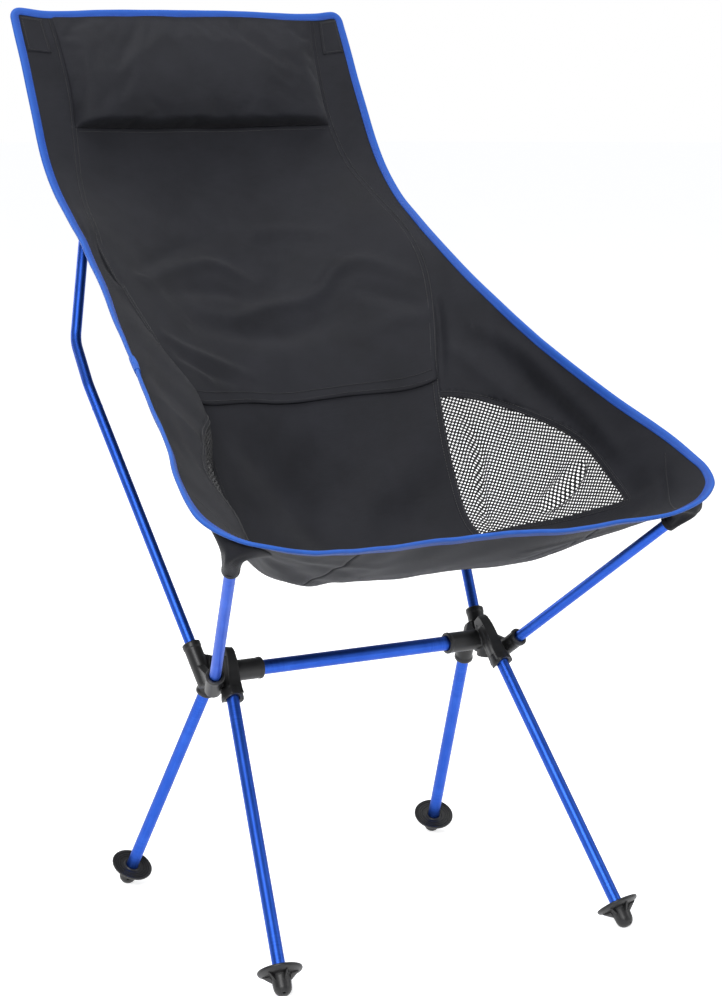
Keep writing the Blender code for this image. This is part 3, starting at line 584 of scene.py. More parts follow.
# Folds and tension lines of the cloth: the (s, t) points that each runs through, its half width and its height,
# which is negative for a valley. A pair of opposite signs side by side reads as one soft crease.
FOLDS = [
    # crescents over the lower back, each a ridge with a valley below it
    ([(-0.47, 0.382), (-0.33, 0.352), (-0.20, 0.338), (-0.11, 0.336), (-0.02, 0.350), (0.05, 0.364)],
     0.009, 0.0036),
    ([(-0.46, 0.368), (-0.44, 0.356), (-0.30, 0.327), (-0.09, 0.303)], 0.010, -0.0028),
    ([(-0.40, 0.386), (-0.25, 0.370), (-0.10, 0.370), (0.02, 0.385)], 0.012, -0.0030),
    ([(0.08, 0.299), (0.24, 0.301), (0.38, 0.314)], 0.010, 0.0022),
    ([(0.10, 0.306), (0.18, 0.335), (0.09, 0.374)], 0.016, -0.0030),
    ([(-0.29, 0.397), (-0.09, 0.399), (0.03, 0.389), (0.22, 0.384), (0.30, 0.367), (0.36, 0.355), (0.42, 0.358),
      (0.48, 0.374), (0.585, 0.404)], 0.010, 0.0050),
    ([(-0.36, 0.413), (-0.04, 0.419), (0.16, 0.417), (0.36, 0.400)], 0.017, -0.0048),
    ([(0.36, 0.382), (0.45, 0.404), (0.57, 0.428)], 0.011, -0.0034),
    ([(0.60, 0.442), (0.48, 0.432), (0.30, 0.446)], 0.012, 0.0020),
    ([(-0.56, 0.436), (-0.46, 0.446), (-0.33, 0.456), (-0.13, 0.470)], 0.008, 0.0028),
    ([(-0.53, 0.456), (-0.40, 0.468), (-0.25, 0.478)], 0.007, -0.0020),
    ([(-0.58, 0.463), (-0.46, 0.466), (-0.40, 0.482)], 0.005, 0.0014),
    ([(-0.30, 0.235), (0.0, 0.222), (0.30, 0.236)], 0.030, -0.0014),
    # where the back turns into the side panels
    ([(-0.63, 0.325), (-0.64, 0.36), (-0.63, 0.395)], 0.006, -0.0040),
    ([(0.64, 0.420), (0.645, 0.46), (0.635, 0.50)], 0.006, -0.0036),
    ([(-0.70, 0.28), (-0.68, 0.33), (-0.66, 0.37)], 0.008, 0.0018),
    ([(0.70, 0.24), (0.69, 0.30), (0.67, 0.36)], 0.009, -0.0018),
    # long folds from the hem's end to the front corner
    ([(0.80, 0.470), (0.93, 0.541), (0.957, 0.646), (0.939, 0.776), (0.882, 0.880)], 0.011, 0.0034),
    ([(0.74, 0.470), (0.87, 0.530), (0.925, 0.662), (0.912, 0.815), (0.856, 0.890)], 0.015, -0.0042),
    ([(0.66, 0.470), (0.76, 0.505), (0.86, 0.590), (0.90, 0.700)], 0.010, 0.0024),
    ([(-0.84, 0.470), (-0.93, 0.55), (-0.95, 0.66), (-0.92, 0.80)], 0.010, 0.0020),
    ([(0.93, 0.90), (0.87, 0.93), (0.80, 0.945)], 0.008, -0.0018),
    # the seat panel's creases, which run from the hem's ends to its middle
    ([(-0.61, 0.500), (-0.345, 0.535), (-0.18, 0.572), (-0.05, 0.622), (0.0, 0.680)], 0.032, -0.0075),
    ([(0.61, 0.520), (0.505, 0.553), (0.373, 0.578), (0.205, 0.602), (0.08, 0.650)], 0.028, 0.0052),
    ([(-0.52, 0.600), (-0.34, 0.640), (-0.16, 0.690)], 0.024, 0.0030),
    # tension across the seat from the front corners
    ([(-0.84, 0.935), (-0.60, 0.860), (-0.34, 0.780)], 0.014, 0.0024),
    ([(-0.80, 0.905), (-0.56, 0.820), (-0.36, 0.740)], 0.014, -0.0024),
    ([(0.84, 0.935), (0.60, 0.865), (0.36, 0.790)], 0.014, 0.0022),
    ([(0.74, 0.900), (0.54, 0.830), (0.34, 0.750)], 0.013, -0.0022),
    # gathers under the front edge beside the pockets
    ([(-0.80, 0.975), (-0.56, 0.945), (-0.34, 0.920)], 0.006, -0.0013),
    ([(-0.78, 0.960), (-0.56, 0.915), (-0.40, 0.880)], 0.006, 0.0011),
    ([(0.80, 0.975), (0.58, 0.950), (0.36, 0.925)], 0.006, -0.0011),
    ([(0.78, 0.960), (0.56, 0.920), (0.42, 0.885)], 0.006, 0.0010),
    # the nets buckle between seam and corner
    ([(0.693, 0.530), (0.705, 0.579), (0.690, 0.604), (0.670, 0.640), (0.652, 0.690)], 0.0046, -0.0062),
    ([(0.665, 0.535), (0.676, 0.590), (0.655, 0.650)], 0.0060, 0.0036),
    ([(0.89, 0.735), (0.87, 0.741), (0.818, 0.731), (0.765, 0.715)], 0.0050, -0.0058),
    ([(0.88, 0.715), (0.82, 0.706), (0.77, 0.700)], 0.0060, 0.0034),
    ([(0.768, 0.545), (0.792, 0.576), (0.815, 0.630)], 0.0100, -0.0026),
    ([(-0.655, 0.535), (-0.668, 0.600), (-0.650, 0.665)], 0.0048, -0.0046),
    ([(-0.83, 0.770), (-0.785, 0.730), (-0.745, 0.712)], 0.0046, -0.0044),
]
SPINE_POINTS = 48
FOLD_DEPTH = 1.35          # the folds stand this much deeper than listed


def smooth_line(points, count):
    """count points on the natural spline through a few (s, t) points."""
    points = np.asarray(points, float)
    stations = np.linspace(0, 1, len(points))
    return spline_weights(stations, bend_matrix(stations), np.linspace(0, 1, count)) @ points


SPINES = []
for fold_points, fold_width, fold_height in FOLDS:
    fold_line = smooth_line(fold_points, SPINE_POINTS)
    SPINES.append((sling(fold_line[:, 0], fold_line[:, 1]), fold_width, FOLD_DEPTH * fold_height))

# Slack that runs all over the cloth: direction, wavelength, height and phase.
SLACK = [
    ((0.9, 0.2, 0.4), 0.115, 0.00055, 0.4),
    ((0.3, -0.8, 0.6), 0.083, 0.00045, 2.1),
    ((-0.7, 0.3, 0.9), 0.061, 0.00030, 4.4),
    ((0.5, 0.9, -0.2), 0.047, 0.00022, 1.3),
    ((1.0, -0.5, 0.1), 0.036, 0.00014, 5.2),
]


def relief(points):
    """How far the real cloth stands off its mean surface, on the sitter's side."""
    height = np.zeros(len(points))
    for direction, wavelength, size, phase in SLACK:
        bent = points + 0.012 * np.sin(points[:, [1, 2, 0]] * 31.0 + phase)
        height += size * np.sin(bent @ unit(np.array(direction)) * 2 * math.pi / wavelength + phase)
    for spine, width, size in SPINES:
        reach = 2.6 * width
        near = np.all((points > spine.min(axis=0) - reach) & (points < spine.max(axis=0) + reach), axis=1)
        if not near.any():
            continue
        gaps = np.linalg.norm(points[near][:, None] - spine[None], axis=2)
        share = gaps.argmin(axis=1) / (SPINE_POINTS - 1)
        height[near] += size * np.exp(-((gaps.min(axis=1) / width) ** 2)) * np.sin(math.pi * share) ** 0.7
    return height


def cloth(s, t, lift=0.0):
    """Points of the wrinkled cloth, lifted towards the sitter."""
    base = sling(s, t)
    return base + sling_sides(s, t)[2] * (relief(base) + lift)[:, None]


# Lengths over the cloth, from a table of the net: across from the centre line, and along from the top edge.
TABLE_S = np.linspace(-1, 1, 81)
TABLE_T = np.linspace(0, 1, 121)
table_points = sling(*(a.ravel() for a in np.meshgrid(TABLE_S, TABLE_T))).reshape(len(TABLE_T), len(TABLE_S), 3)
TABLE_U = np.concatenate([np.zeros((len(TABLE_T), 1)),
                          np.cumsum(np.linalg.norm(np.diff(table_points, axis=1), axis=2), axis=1)], axis=1)
TABLE_U -= TABLE_U[:, [len(TABLE_S) // 2]]
TABLE_V = np.concatenate([np.zeros((1, len(TABLE_S))),
                          np.cumsum(np.linalg.norm(np.diff(table_points, axis=0), axis=2), axis=0)], axis=0)


def cloth_place(s, t, share=0.0):
    """(across, along, share) in metres for the materials."""
    x = np.clip((np.asarray(s) + 1) / 2 * (len(TABLE_S) - 1), 0, len(TABLE_S) - 1.001)
    y = np.clip(np.asarray(t) * (len(TABLE_T) - 1), 0, len(TABLE_T) - 1.001)
    i = x.astype(int)
    j = y.astype(int)
    a = x - i
    b = y - j
    found = []
    for table in (TABLE_U, TABLE_V):
        low = table[j, i] * (1 - a) + table[j, i + 1] * a
        high = table[j + 1, i] * (1 - a) + table[j + 1, i + 1] * a
        found.append(low * (1 - b) + high * b)
    return np.stack([found[0], found[1], np.full(len(x), share)], axis=1)


def thicken(piece, thickness, offset=0.0):
    modifier = piece.modifiers.new("thickness", "SOLIDIFY")
    modifier.thickness = thickness
    modifier.offset = offset
    return piece


def woven_grid(name, s_low, s_high, t_low, t_high, lift, replaces, columns, rows):
    """A panel between two seams, as one grid. lift may be a number or a function of (s, t)."""
    s, t = grid_places(np.linspace(s_low, s_high, columns), np.linspace(t_low, t_high, rows))
    height = lift(s, t) if callable(lift) else np.full(len(s), lift)
    piece = add_piece(name, cloth(s, t, height), grid_faces(columns, rows), BLACK_CLOTH, cloth_place(s, t),
                      "frame", replaces, smooth=60)
    return thicken(piece, CLOTH)


def edge_run(room):
    """The cloth's right half outline from the top middle round to the front middle, moved in by room metres.

    Corners are rounded at their real radius: small at the top, wider at the front."""
    points = []
    for s0, t0, radius, order in ((1.0, 0.0, 0.011, 1), (1.0, 1.0, 0.022, -1)):
        per_s, per_t = (value[0] for value in scale_at([s0], [t0]))
        in_s = (radius + room) / per_s
        in_t = (radius + room) / per_t
        r_s = radius / per_s
        r_t = radius / per_t
        centre_t = in_t if t0 == 0.0 else 1.0 - in_t
        sign = -1.0 if t0 == 0.0 else 1.0
        arc = [(1.0 - in_s + r_s * math.sin(a), centre_t + sign * r_t * math.cos(a))
               for a in np.linspace(0, math.pi / 2, 9)]
        points.append(arc if order > 0 else arc[::-1])
    top, front = points
    side = []
    for t in np.linspace(top[-1][1], front[0][1], 120)[1:-1]:
        per_s = scale_at([1.0], [t])[0][0]
        side.append((1.0 - room / per_s, t))
    top_t = top[0][1]
    front_t = front[-1][1]
    head = [(s, top_t) for s in np.linspace(0, top[0][0], 30)[:-1]]
    tail = [(s, front_t) for s in np.linspace(front[-1][0], 0, 40)[1:]]
    return np.array(head + top + side + front + tail)


def perimeter(room):
    """The whole outline as a loop of (s, t), starting at the top middle and going right."""
    right = edge_run(room)
    left = right[::-1] * np.array([-1.0, 1.0])
    return np.concatenate([right, left[1:-1]])


# ---------------------------------------------------------------- the window's edge, in (s, t)
WINDOW_TOP_T = 0.514
WINDOW_LOW_T = 0.695
WINDOW_TIP = np.array([0.845, 0.866])
WINDOW_OUTER_PULLS = np.array([(0.836, 0.537), (1.001, 0.678)])
WINDOW_LOWER_PULL = np.array([0.800, 0.703])


def bowed(start, pulls, end, count):
    """A cubic curve from start to end, drawn towards two points on the way."""
    share = np.linspace(0, 1, count)[:, None]
    rest = 1 - share
    return start * rest**3 + pulls[0] * 3 * share * rest**2 + pulls[1] * 3 * share**2 * rest + end * share**3


SIDE_SCALE = np.array([0.50, 0.85])     # metres for s and t over a side panel, roughly


def window_run(room=0.0):
    """From the top of the seam round the outside to the bottom of the seam, room metres outside the opening."""
    outer = bowed(np.array([SEAM_S, WINDOW_TOP_T]), WINDOW_OUTER_PULLS, WINDOW_TIP, 30)
    low_end = np.array([SEAM_S, WINDOW_LOW_T])
    lower_pulls = [(WINDOW_TIP + 2 * WINDOW_LOWER_PULL) / 3, (low_end + 2 * WINDOW_LOWER_PULL) / 3]
    lower = bowed(WINDOW_TIP, lower_pulls, low_end, 20)
    line = np.concatenate([outer, lower[1:]]) * SIDE_SCALE
    ahead = units(np.gradient(line, axis=0))
    line += np.stack([ahead[:, 1], -ahead[:, 0]], axis=1) * room
    line[[0, -1], 0] = SEAM_S * SIDE_SCALE[0]
    return line / SIDE_SCALE


def inside(points, polygon):
    """Which points lie in a polygon, by counting crossings."""
    found = np.zeros(len(points), bool)
    for a, b in zip(polygon, np.roll(polygon, -1, axis=0)):
        crosses = (a[1] > points[:, 1]) != (b[1] > points[:, 1])
        with np.errstate(divide="ignore", invalid="ignore"):
            x = (b[0] - a[0]) * (points[:, 1] - a[1]) / (b[1] - a[1]) + a[0]
        found ^= crosses & (points[:, 0] < x)
    return found


def distance_to(points, polygon):
    best = np.full(len(points), 1e9)
    for a, b in zip(polygon, np.roll(polygon, -1, axis=0)):
        along = b - a
        share = np.clip((points - a) @ along / max(along @ along, 1e-12), 0, 1)
        best = np.minimum(best, np.linalg.norm(points - a - share[:, None] * along, axis=1))
    return best


def cut_panel(name, outline, side, lift, replaces, spacing=0.0048):
    """A side panel cut to an outline, divided into even triangles. The outline is given for the right side."""
    polygon = resampled(np.concatenate([outline, outline[:1]]) * SIDE_SCALE, spacing)[:-1]
    low = polygon.min(axis=0)
    high = polygon.max(axis=0)
    xs = np.arange(low[0], high[0], spacing)
    ys = np.arange(low[1], high[1], spacing * 0.87)
    grid = np.array([(x + (spacing / 2 if k % 2 else 0.0), y) for k, y in enumerate(ys) for x in xs])
    grid = grid[inside(grid, polygon)]
    grid = grid[distance_to(grid, polygon) > spacing * 0.5]
    points = [Vector(p) for p in np.concatenate([polygon, grid])]
    edges = [(k, (k + 1) % len(polygon)) for k in range(len(polygon))]
    flat, _, triangles, *_ = geometry.delaunay_2d_cdt(points, edges, [], 1, 1e-7)
    flat = np.array([tuple(p) for p in flat]) / SIDE_SCALE
    s = flat[:, 0] * side
    t = flat[:, 1]
    points = cloth(s, t, np.full(len(s), lift))
    piece = add_piece(name, points, triangles, BLACK_CLOTH, cloth_place(s, t), "frame", replaces,
                      smooth=60)
    return thicken(piece, CLOTH)


# ---------------------------------------------------------------- bands, tape and stitches
STITCHES = {"black": [], "blue": []}


def path_frame(line, closed=False):
    """Points, inward and outward vectors of an (s, t) line on the wrinkled cloth."""
    line = np.asarray(line, float)
    points = cloth(line[:, 0], line[:, 1], np.zeros(len(line)))
    normals = sling_sides(line[:, 0], line[:, 1])[2]
    if closed:
        ahead = units(np.roll(points, -1, axis=0) - np.roll(points, 1, axis=0))
    else:
        ahead = units(np.gradient(points, axis=0))
    return points, units(np.cross(normals, ahead)), normals, ahead


def st_resampled(line, spacing):
    """Moves an (s, t) line's points so that they lie evenly on the cloth."""
    line = np.asarray(line, float)
    fine = np.concatenate([np.linspace(a, b, 6)[:-1] for a, b in zip(line, line[1:])] + [line[-1:]])
    points = sling(fine[:, 0], fine[:, 1])
    lengths = run_lengths(points)
    at = np.linspace(0, lengths[-1], max(2, int(round(lengths[-1] / spacing)) + 1))
    return np.stack([np.interp(at, lengths, fine[:, 0]), np.interp(at, lengths, fine[:, 1])], axis=1)


def swept_section(name, line, section, material, shares, closed=False, replaces=(),
                  scale=None):
    """Carries a closed section of (inward, outward) offsets along a line on the cloth."""
    points, inward, outward, _ = path_frame(line, closed)
    lengths = run_lengths(points)
    section = np.asarray(section, float)
    count = len(section)
    rings = []
    places = []
    for i, point in enumerate(points):
        size = 1.0 if scale is None else scale(lengths[i], lengths[-1])
        rings.append(point + inward[i] * section[:, [0]] + outward[i] * section[:, [1]] * size)
        places += [(offset[0], lengths[i], share) for offset, share in zip(section, shares)]
    points = np.concatenate(rings)
    faces = ring_faces(len(rings), count, closed)
    if not closed:
        faces.append(tuple(range(count)))
        faces.append(tuple(range(len(points) - count, len(points))))
    return add_piece(name, points, faces, material, places, "frame", replaces, smooth=50)


def sew(line, colour, shift=0.0, lift=0.0, closed=False):
    """Adds a row of stitches along an (s, t) line, moved inward by shift and lifted off the cloth."""
    line = st_resampled(line, 0.0012)
    points, inward, outward, ahead = path_frame(line, closed)
    points = points + inward * shift + outward * lift
    lengths = run_lengths(points)
    starts = np.arange(STITCH_PITCH / 2, lengths[-1] - STITCH, STITCH_PITCH)
    for start in starts:
        ends = []
        for at in (start, start + STITCH):
            ends.append(np.array([np.interp(at, lengths, points[:, k]) for k in range(3)]))
        k = min(len(outward) - 1, int(np.searchsorted(lengths, start + STITCH / 2)))
        STITCHES[colour].append((ends[0], ends[1], outward[k]))


STITCH_SHARES = (0.0, 0.18, 0.5, 0.82, 1.0)
STITCH_HEIGHTS = (-0.5, 0.55, 0.95, 0.55, -0.5)
STITCH_SIDES = 6


def make_stitches(name, colour, material):
    """All the stitches of one colour: short bent lengths of thread that dive into the cloth at both ends."""
    angles = np.linspace(0, 2 * math.pi, STITCH_SIDES, endpoint=False)
    points = []
    places = []
    faces = []
    for start, end, outward in STITCHES[colour]:
        ahead = unit(end - start)
        across = unit(np.cross(outward, ahead))
        first = len(points)
        for share, height in zip(STITCH_SHARES, STITCH_HEIGHTS):
            centre = start + (end - start) * share + outward * height * THREAD
            size = THREAD * (0.75 if share in (0.0, 1.0) else 1.0)
            for angle in angles:
                points.append(centre + (across * math.cos(angle) + outward * math.sin(angle)) * size)
                places.append((angle * THREAD, share * STITCH, 0.0))
        for ring in range(len(STITCH_SHARES) - 1):
            a = first + ring * STITCH_SIDES
            for k in range(STITCH_SIDES):
                n = (k + 1) % STITCH_SIDES
                faces.append((a + k, a + n, a + STITCH_SIDES + n, a + STITCH_SIDES + k))
        faces.append(tuple(first + k for k in range(STITCH_SIDES)))
        faces.append(tuple(first + (len(STITCH_SHARES) - 1) * STITCH_SIDES + k for k in range(STITCH_SIDES)))
    return add_piece(name, points, faces, material, places, "frame")


def band_section(width, height, dips=()):
    """A flat sewn band: rounded edges, dipping where the stitches pull it down."""
    half = width / 2
    across = np.linspace(-half, half, 17)
    top = []
    for x in across:
        rise = height * (1 - (abs(x) / half) ** 6 * 0.6)
        for dip in dips:
            rise -= height * 0.35 * math.exp(-(((x - dip) / 0.0007) ** 2))
        top.append((x, rise))
    return top + [(half, -0.0003), (-half, -0.0003)]


def make_band(name, line, width, height, dips):
    section = band_section(width, height, dips)
    return swept_section(name, st_resampled(line, 0.003), section, BLACK_CLOTH, [0.0] * len(section))


# ---------------------------------------------------------------- cloth pieces
HEM_END = 0.497             # the back panel's lower edge, which lies over the seat panel
HEM_FOLD = 0.0024           # the back panel's hem stands this far off the seat panel
HEM_REACH = 0.035           # over this much of t before the hem
HEM_LAP = 0.012             # and the seat panel starts this much above it
SEAM_WIDTH = 0.0085         # a felled seam's band, its height and its two rows of stitches
SEAM_RISE = 0.0011
SEAM_ROWS = (-0.0026, 0.0026)
HEM_HALF = 0.0040           # half the width of the hem round a net, its height and its two rows
HEM_RISE = 0.0010
HEM_ROWS = (-0.0022, 0.0022)
CORNER_WIDTH = 0.0030       # the narrow seam across a front corner
CORNER_RISE = 0.0007
CORNER_SEAM = [(0.965, 0.905), (0.90, 0.925), (0.83, 0.957), (0.79, 0.99)]


def back_lift(s, t):
    """The back panel's hem lies over the seat panel and lifts away from it towards its edge."""
    reach = np.clip((t - (HEM_END - HEM_REACH)) / HEM_REACH, 0, 1)
    return 0.0004 + HEM_FOLD * reach**2 * (0.8 + 0.2 * np.cos(s * 9.0))


def make_panels():
    """The back and seat panels as grids, and the two side panels cut round their windows."""
    inner = SEAM_S - 0.002
    top_t = 0.0025
    back = woven_grid("back_cloth", -inner, inner, top_t, HEM_END, back_lift, ["back_panel"], 93, 181)
    seat = woven_grid("seat_cloth", -inner, inner, HEM_END - HEM_LAP, 1.0 - top_t, -0.0002, ["seat_panel"], 93,
                      187)
    window = window_run(HEM_HALF)
    edge = edge_run(0.002)
    edge = edge[edge[:, 0] > SEAM_S - 0.001]
    seam_top = np.array([[SEAM_S + 0.001, edge[0][1]]])
    seam_low = np.array([[SEAM_S + 0.001, edge[-1][1]]])
    outline = np.concatenate([seam_top, edge[1:-1], seam_low, window[::-1]])
    for side_name, side in SIDES.items():
        panel = cut_panel("side_cloth_" + side_name, outline, side, 0.0, ["side_panel_" + side_name])


def make_seams():
    """Felled seams and hems, each a band with rows of stitches."""
    for side_name, side in SIDES.items():
        seam = np.array([(side * (SEAM_S - 0.012), t) for t in np.linspace(0.004, 0.996, 120)])
        make_band("seam_" + side_name, seam, SEAM_WIDTH, SEAM_RISE, SEAM_ROWS)
        for shift in SEAM_ROWS:
            sew(seam, "black", shift, SEAM_RISE)
        window = window_run(HEM_HALF) * np.array([side, 1.0])
        make_band("window_hem_" + side_name, window, 2 * HEM_HALF, HEM_RISE, HEM_ROWS)
        for shift in HEM_ROWS:
            sew(window, "black", shift, HEM_RISE)
        corner = smooth_line(CORNER_SEAM, 30) * np.array([side, 1.0])
        make_band("corner_seam_" + side_name, corner, CORNER_WIDTH, CORNER_RISE, ())
        sew(corner, "black", 0.0, CORNER_RISE)
        make_patch(side_name, side)
    hem = np.array([(s, HEM_END - 0.0105) for s in np.linspace(-SEAM_S + 0.02, SEAM_S - 0.02, 60)])
    lift = HEM_FOLD * 0.85 + CLOTH / 2
    for t_shift in (0.0, 0.0075):
        sew(hem + np.array([0.0, t_shift]), "black", 0.0, lift * (0.9 + t_shift * 12))


PATCH_S = (0.68, 0.93)      # the doubled patch over each back pole's tip
PATCH_T = (0.010, 0.058)
PATCH_INSET = (0.02, 0.0025)    # from its edge to its stitches
PATCH_CLOTH = 0.0008


def make_patch(side_name, side):
    """The doubled patch, sewn down all round."""
    columns = 14
    rows = 20
    s, t = grid_places(np.linspace(*PATCH_S, columns), np.linspace(*PATCH_T, rows))
    lift = np.full(len(s), CLOTH * 0.95)
    place = cloth_place(s * side, t)[:, [1, 0, 2]]
    patch = add_piece("tip_patch_" + side_name, cloth(s * side, t, lift), grid_faces(columns, rows), BLACK_CLOTH,
                      place, "frame", smooth=60)
    thicken(patch, PATCH_CLOTH)
    low_s = PATCH_S[0] + PATCH_INSET[0]
    high_s = PATCH_S[1] - PATCH_INSET[0]
    low_t = PATCH_T[0] + PATCH_INSET[1]
    high_t = PATCH_T[1] - PATCH_INSET[1]
    corners = [(low_s, low_t), (high_s, low_t), (high_s, high_t), (low_s, high_t)]
    for start, end in zip(corners, corners[1:] + corners[:1]):
        sew(np.array([start, end]) * np.array([side, 1.0]), "black", 0.0, CLOTH * 1.3)


def make_tape():
    """The folded tape round the whole cloth, its overlap, and its row of blue stitches."""
    front = []
    front += [(TAPE_IN, 0.0013), (TAPE_IN - 0.0004, 0.0017), (TAPE_IN * 0.70, 0.0016), (TAPE_IN * 0.35, 0.0020)]
    for angle in np.linspace(math.radians(80), math.radians(-80), 9):
        front.append((-TAPE_OUT * 0.35 - TAPE_OUT * 0.65 * math.cos(angle), TAPE_HALF * math.sin(angle)))
    section = front + [(a, -b) for a, b in front[3::-1]]
    shares = [min(1.0, max(0.0, (0.002 - a) / 0.004)) for a, _ in section]
    loop = perimeter(0.0)
    loop = st_resampled(np.concatenate([loop, loop[:1]]), 0.0030)[:-1]
    # the loop's own inward side faces away from the cloth
    section = [(-a, b) for a, b in section]
    piece = swept_section("edge_tape", loop, section, BLUE_TAPE, shares, closed=True,
                          replaces=["binding_left", "binding_right", "binding_top", "binding_front"])
    sew(np.concatenate([loop, loop[:1]]), "blue", -(TAPE_IN - 0.0018), 0.0017)
    sew(np.concatenate([loop, loop[:1]]), "blue", -(TAPE_IN - 0.0018), -0.0017)
    lap_line = np.array([(-1.0, t) for t in np.linspace(0.585, 0.612, 12)])
    lap = [(a * 1.12 + 0.0002, b * 1.45) for a, b in section]

    def swell(at, whole):
        return 1.0 + 0.22 * math.sin(math.pi * at / whole)

    swept_section("tape_lap", st_resampled(lap_line[::-1], 0.0022), lap, BLUE_TAPE, shares,
                  scale=swell)
    return piece


NET_PITCH = 0.0037
NET_HOLE = 0.34             # hole radius as a share of the pitch
NET_CLOTH = 0.00055


def net_plane():
    """The plane that lies closest to the right-hand window, as an origin and two directions."""
    window = window_run()
    points = sling(window[:, 0], window[:, 1])
    origin = points.mean(axis=0)
    outward = np.linalg.svd(points - origin, full_matrices=False)[2][2]
    across = unit(np.array([1.0, 0.0, 0.0]) - outward * outward[0])
    return origin, across, np.cross(outward, across)


def net_to_cloth(flat):
    """(s, t) of the right-hand cloth over each place on the net's plane."""
    origin, across, along = net_plane()
    plane = np.stack([across, along], axis=1)
    s, t = grid_places(np.linspace(0.55, 1.0, 60), np.linspace(0.44, 0.95, 80))
    known = (sling(s, t) - origin) @ plane
    nearest = nearest_of(np.pad(flat, ((0, 0), (0, 1))), np.pad(known, ((0, 0), (0, 1))))
    s = s[nearest]
    t = t[nearest]
    step = 1e-4
    for _ in range(4):
        here = (sling(s, t) - origin) @ plane
        by_s = ((sling(s + step, t) - origin) @ plane - here) / step
        by_t = ((sling(s, t + step) - origin) @ plane - here) / step
        miss = flat - here
        size = by_s[:, 0] * by_t[:, 1] - by_s[:, 1] * by_t[:, 0]
        s = s + np.clip((miss[:, 0] * by_t[:, 1] - miss[:, 1] * by_t[:, 0]) / size, -0.02, 0.02)
        t = t + np.clip((miss[:, 1] * by_s[:, 0] - miss[:, 0] * by_s[:, 1]) / size, -0.02, 0.02)
    return np.clip(s, SEAM_S - 0.05, 1.0), np.clip(t, 0.40, 0.96)


def make_net(side_name, side):
    """A knitted net: a lattice on the slant with a rounded hole in every cell."""
    polygon = window_run(HEM_HALF)
    seam = [(SEAM_S - 0.010, t) for t in np.linspace(polygon[-1][1], polygon[0][1], 24)]
    polygon = np.concatenate([polygon, seam])
    origin, across, along = net_plane()
    scaled = (sling(polygon[:, 0], polygon[:, 1]) - origin) @ np.stack([across, along], axis=1)
    low = scaled.min(axis=0) - NET_PITCH
    high = scaled.max(axis=0) + NET_PITCH
    half = NET_PITCH / math.sqrt(2)
    columns = int((high[0] - low[0]) / half) + 2
    rows = int((high[1] - low[1]) / half) + 2
    centres = [low + np.array([i, j]) * half for j in range(rows) for i in range(columns) if (i + j) % 2 == 0]
    centres = np.array(centres)
    keep = inside(centres, scaled) | (distance_to(centres, scaled) < NET_PITCH * 0.9)
    centres = centres[keep]
    corner_angles = np.arange(8) * math.pi / 4
    outer = np.array([(math.cos(a), math.sin(a)) for a in corner_angles]) * half
    outer[1::2] *= math.sqrt(0.5)
    hole = np.array([(math.cos(a), math.sin(a)) for a in corner_angles]) * NET_PITCH * NET_HOLE
    index = {}
    points = []
    faces = []

    def vertex(point):
        key = (round(point[0] * 1e6), round(point[1] * 1e6))
        if key not in index:
            index[key] = len(points)
            points.append(point)
        return index[key]

    for centre in centres:
        rim = [vertex(centre + offset) for offset in outer]
        start = len(points)
        points.extend(centre + offset for offset in hole)
        for k in range(8):
            n = (k + 1) % 8
            faces.append((rim[k], rim[n], start + n, start + k))
    flat = np.array(points)
    s, t = net_to_cloth(flat)
    s = s * side
    strand = 0.00018 * np.sin(flat[:, 0] * 900) * np.cos(flat[:, 1] * 700)
    piece = add_piece("net_" + side_name, cloth(s, t, strand - 0.0004), faces, NET_THREAD, cloth_place(s, t),
                      "frame", ["mesh_window_" + side_name], smooth=70)
    thicken(piece, NET_CLOTH)


# ---------------------------------------------------------------- head pillow
PILLOW_HEIGHT = 0.031
PILLOW_HALF = SEAM_S - 0.016
PILLOW_TOP = 0.004
PILLOW_CAP = 0.006          # most that a point may move while the pillow fills
SIM_FRAMES = 20


def pillow_height(s, t):
    """Thin at the top edge, fullest just above the lower seam, and gone at the sides."""
    u = np.clip(np.abs(s) / PILLOW_HALF, 0, 1)
    v = np.clip((t - PILLOW_TOP) / (PILLOW_T - PILLOW_TOP), 0, 1)
    across = (1 - u**7) ** 0.8
    rise = np.sin(np.clip(v / 0.92, 0, 1) * math.pi / 2) ** 1.15
    fall = np.clip(1 - ((v - 0.90) / 0.10).clip(0, 1) ** 3, 0, 1)
    return across * rise * fall


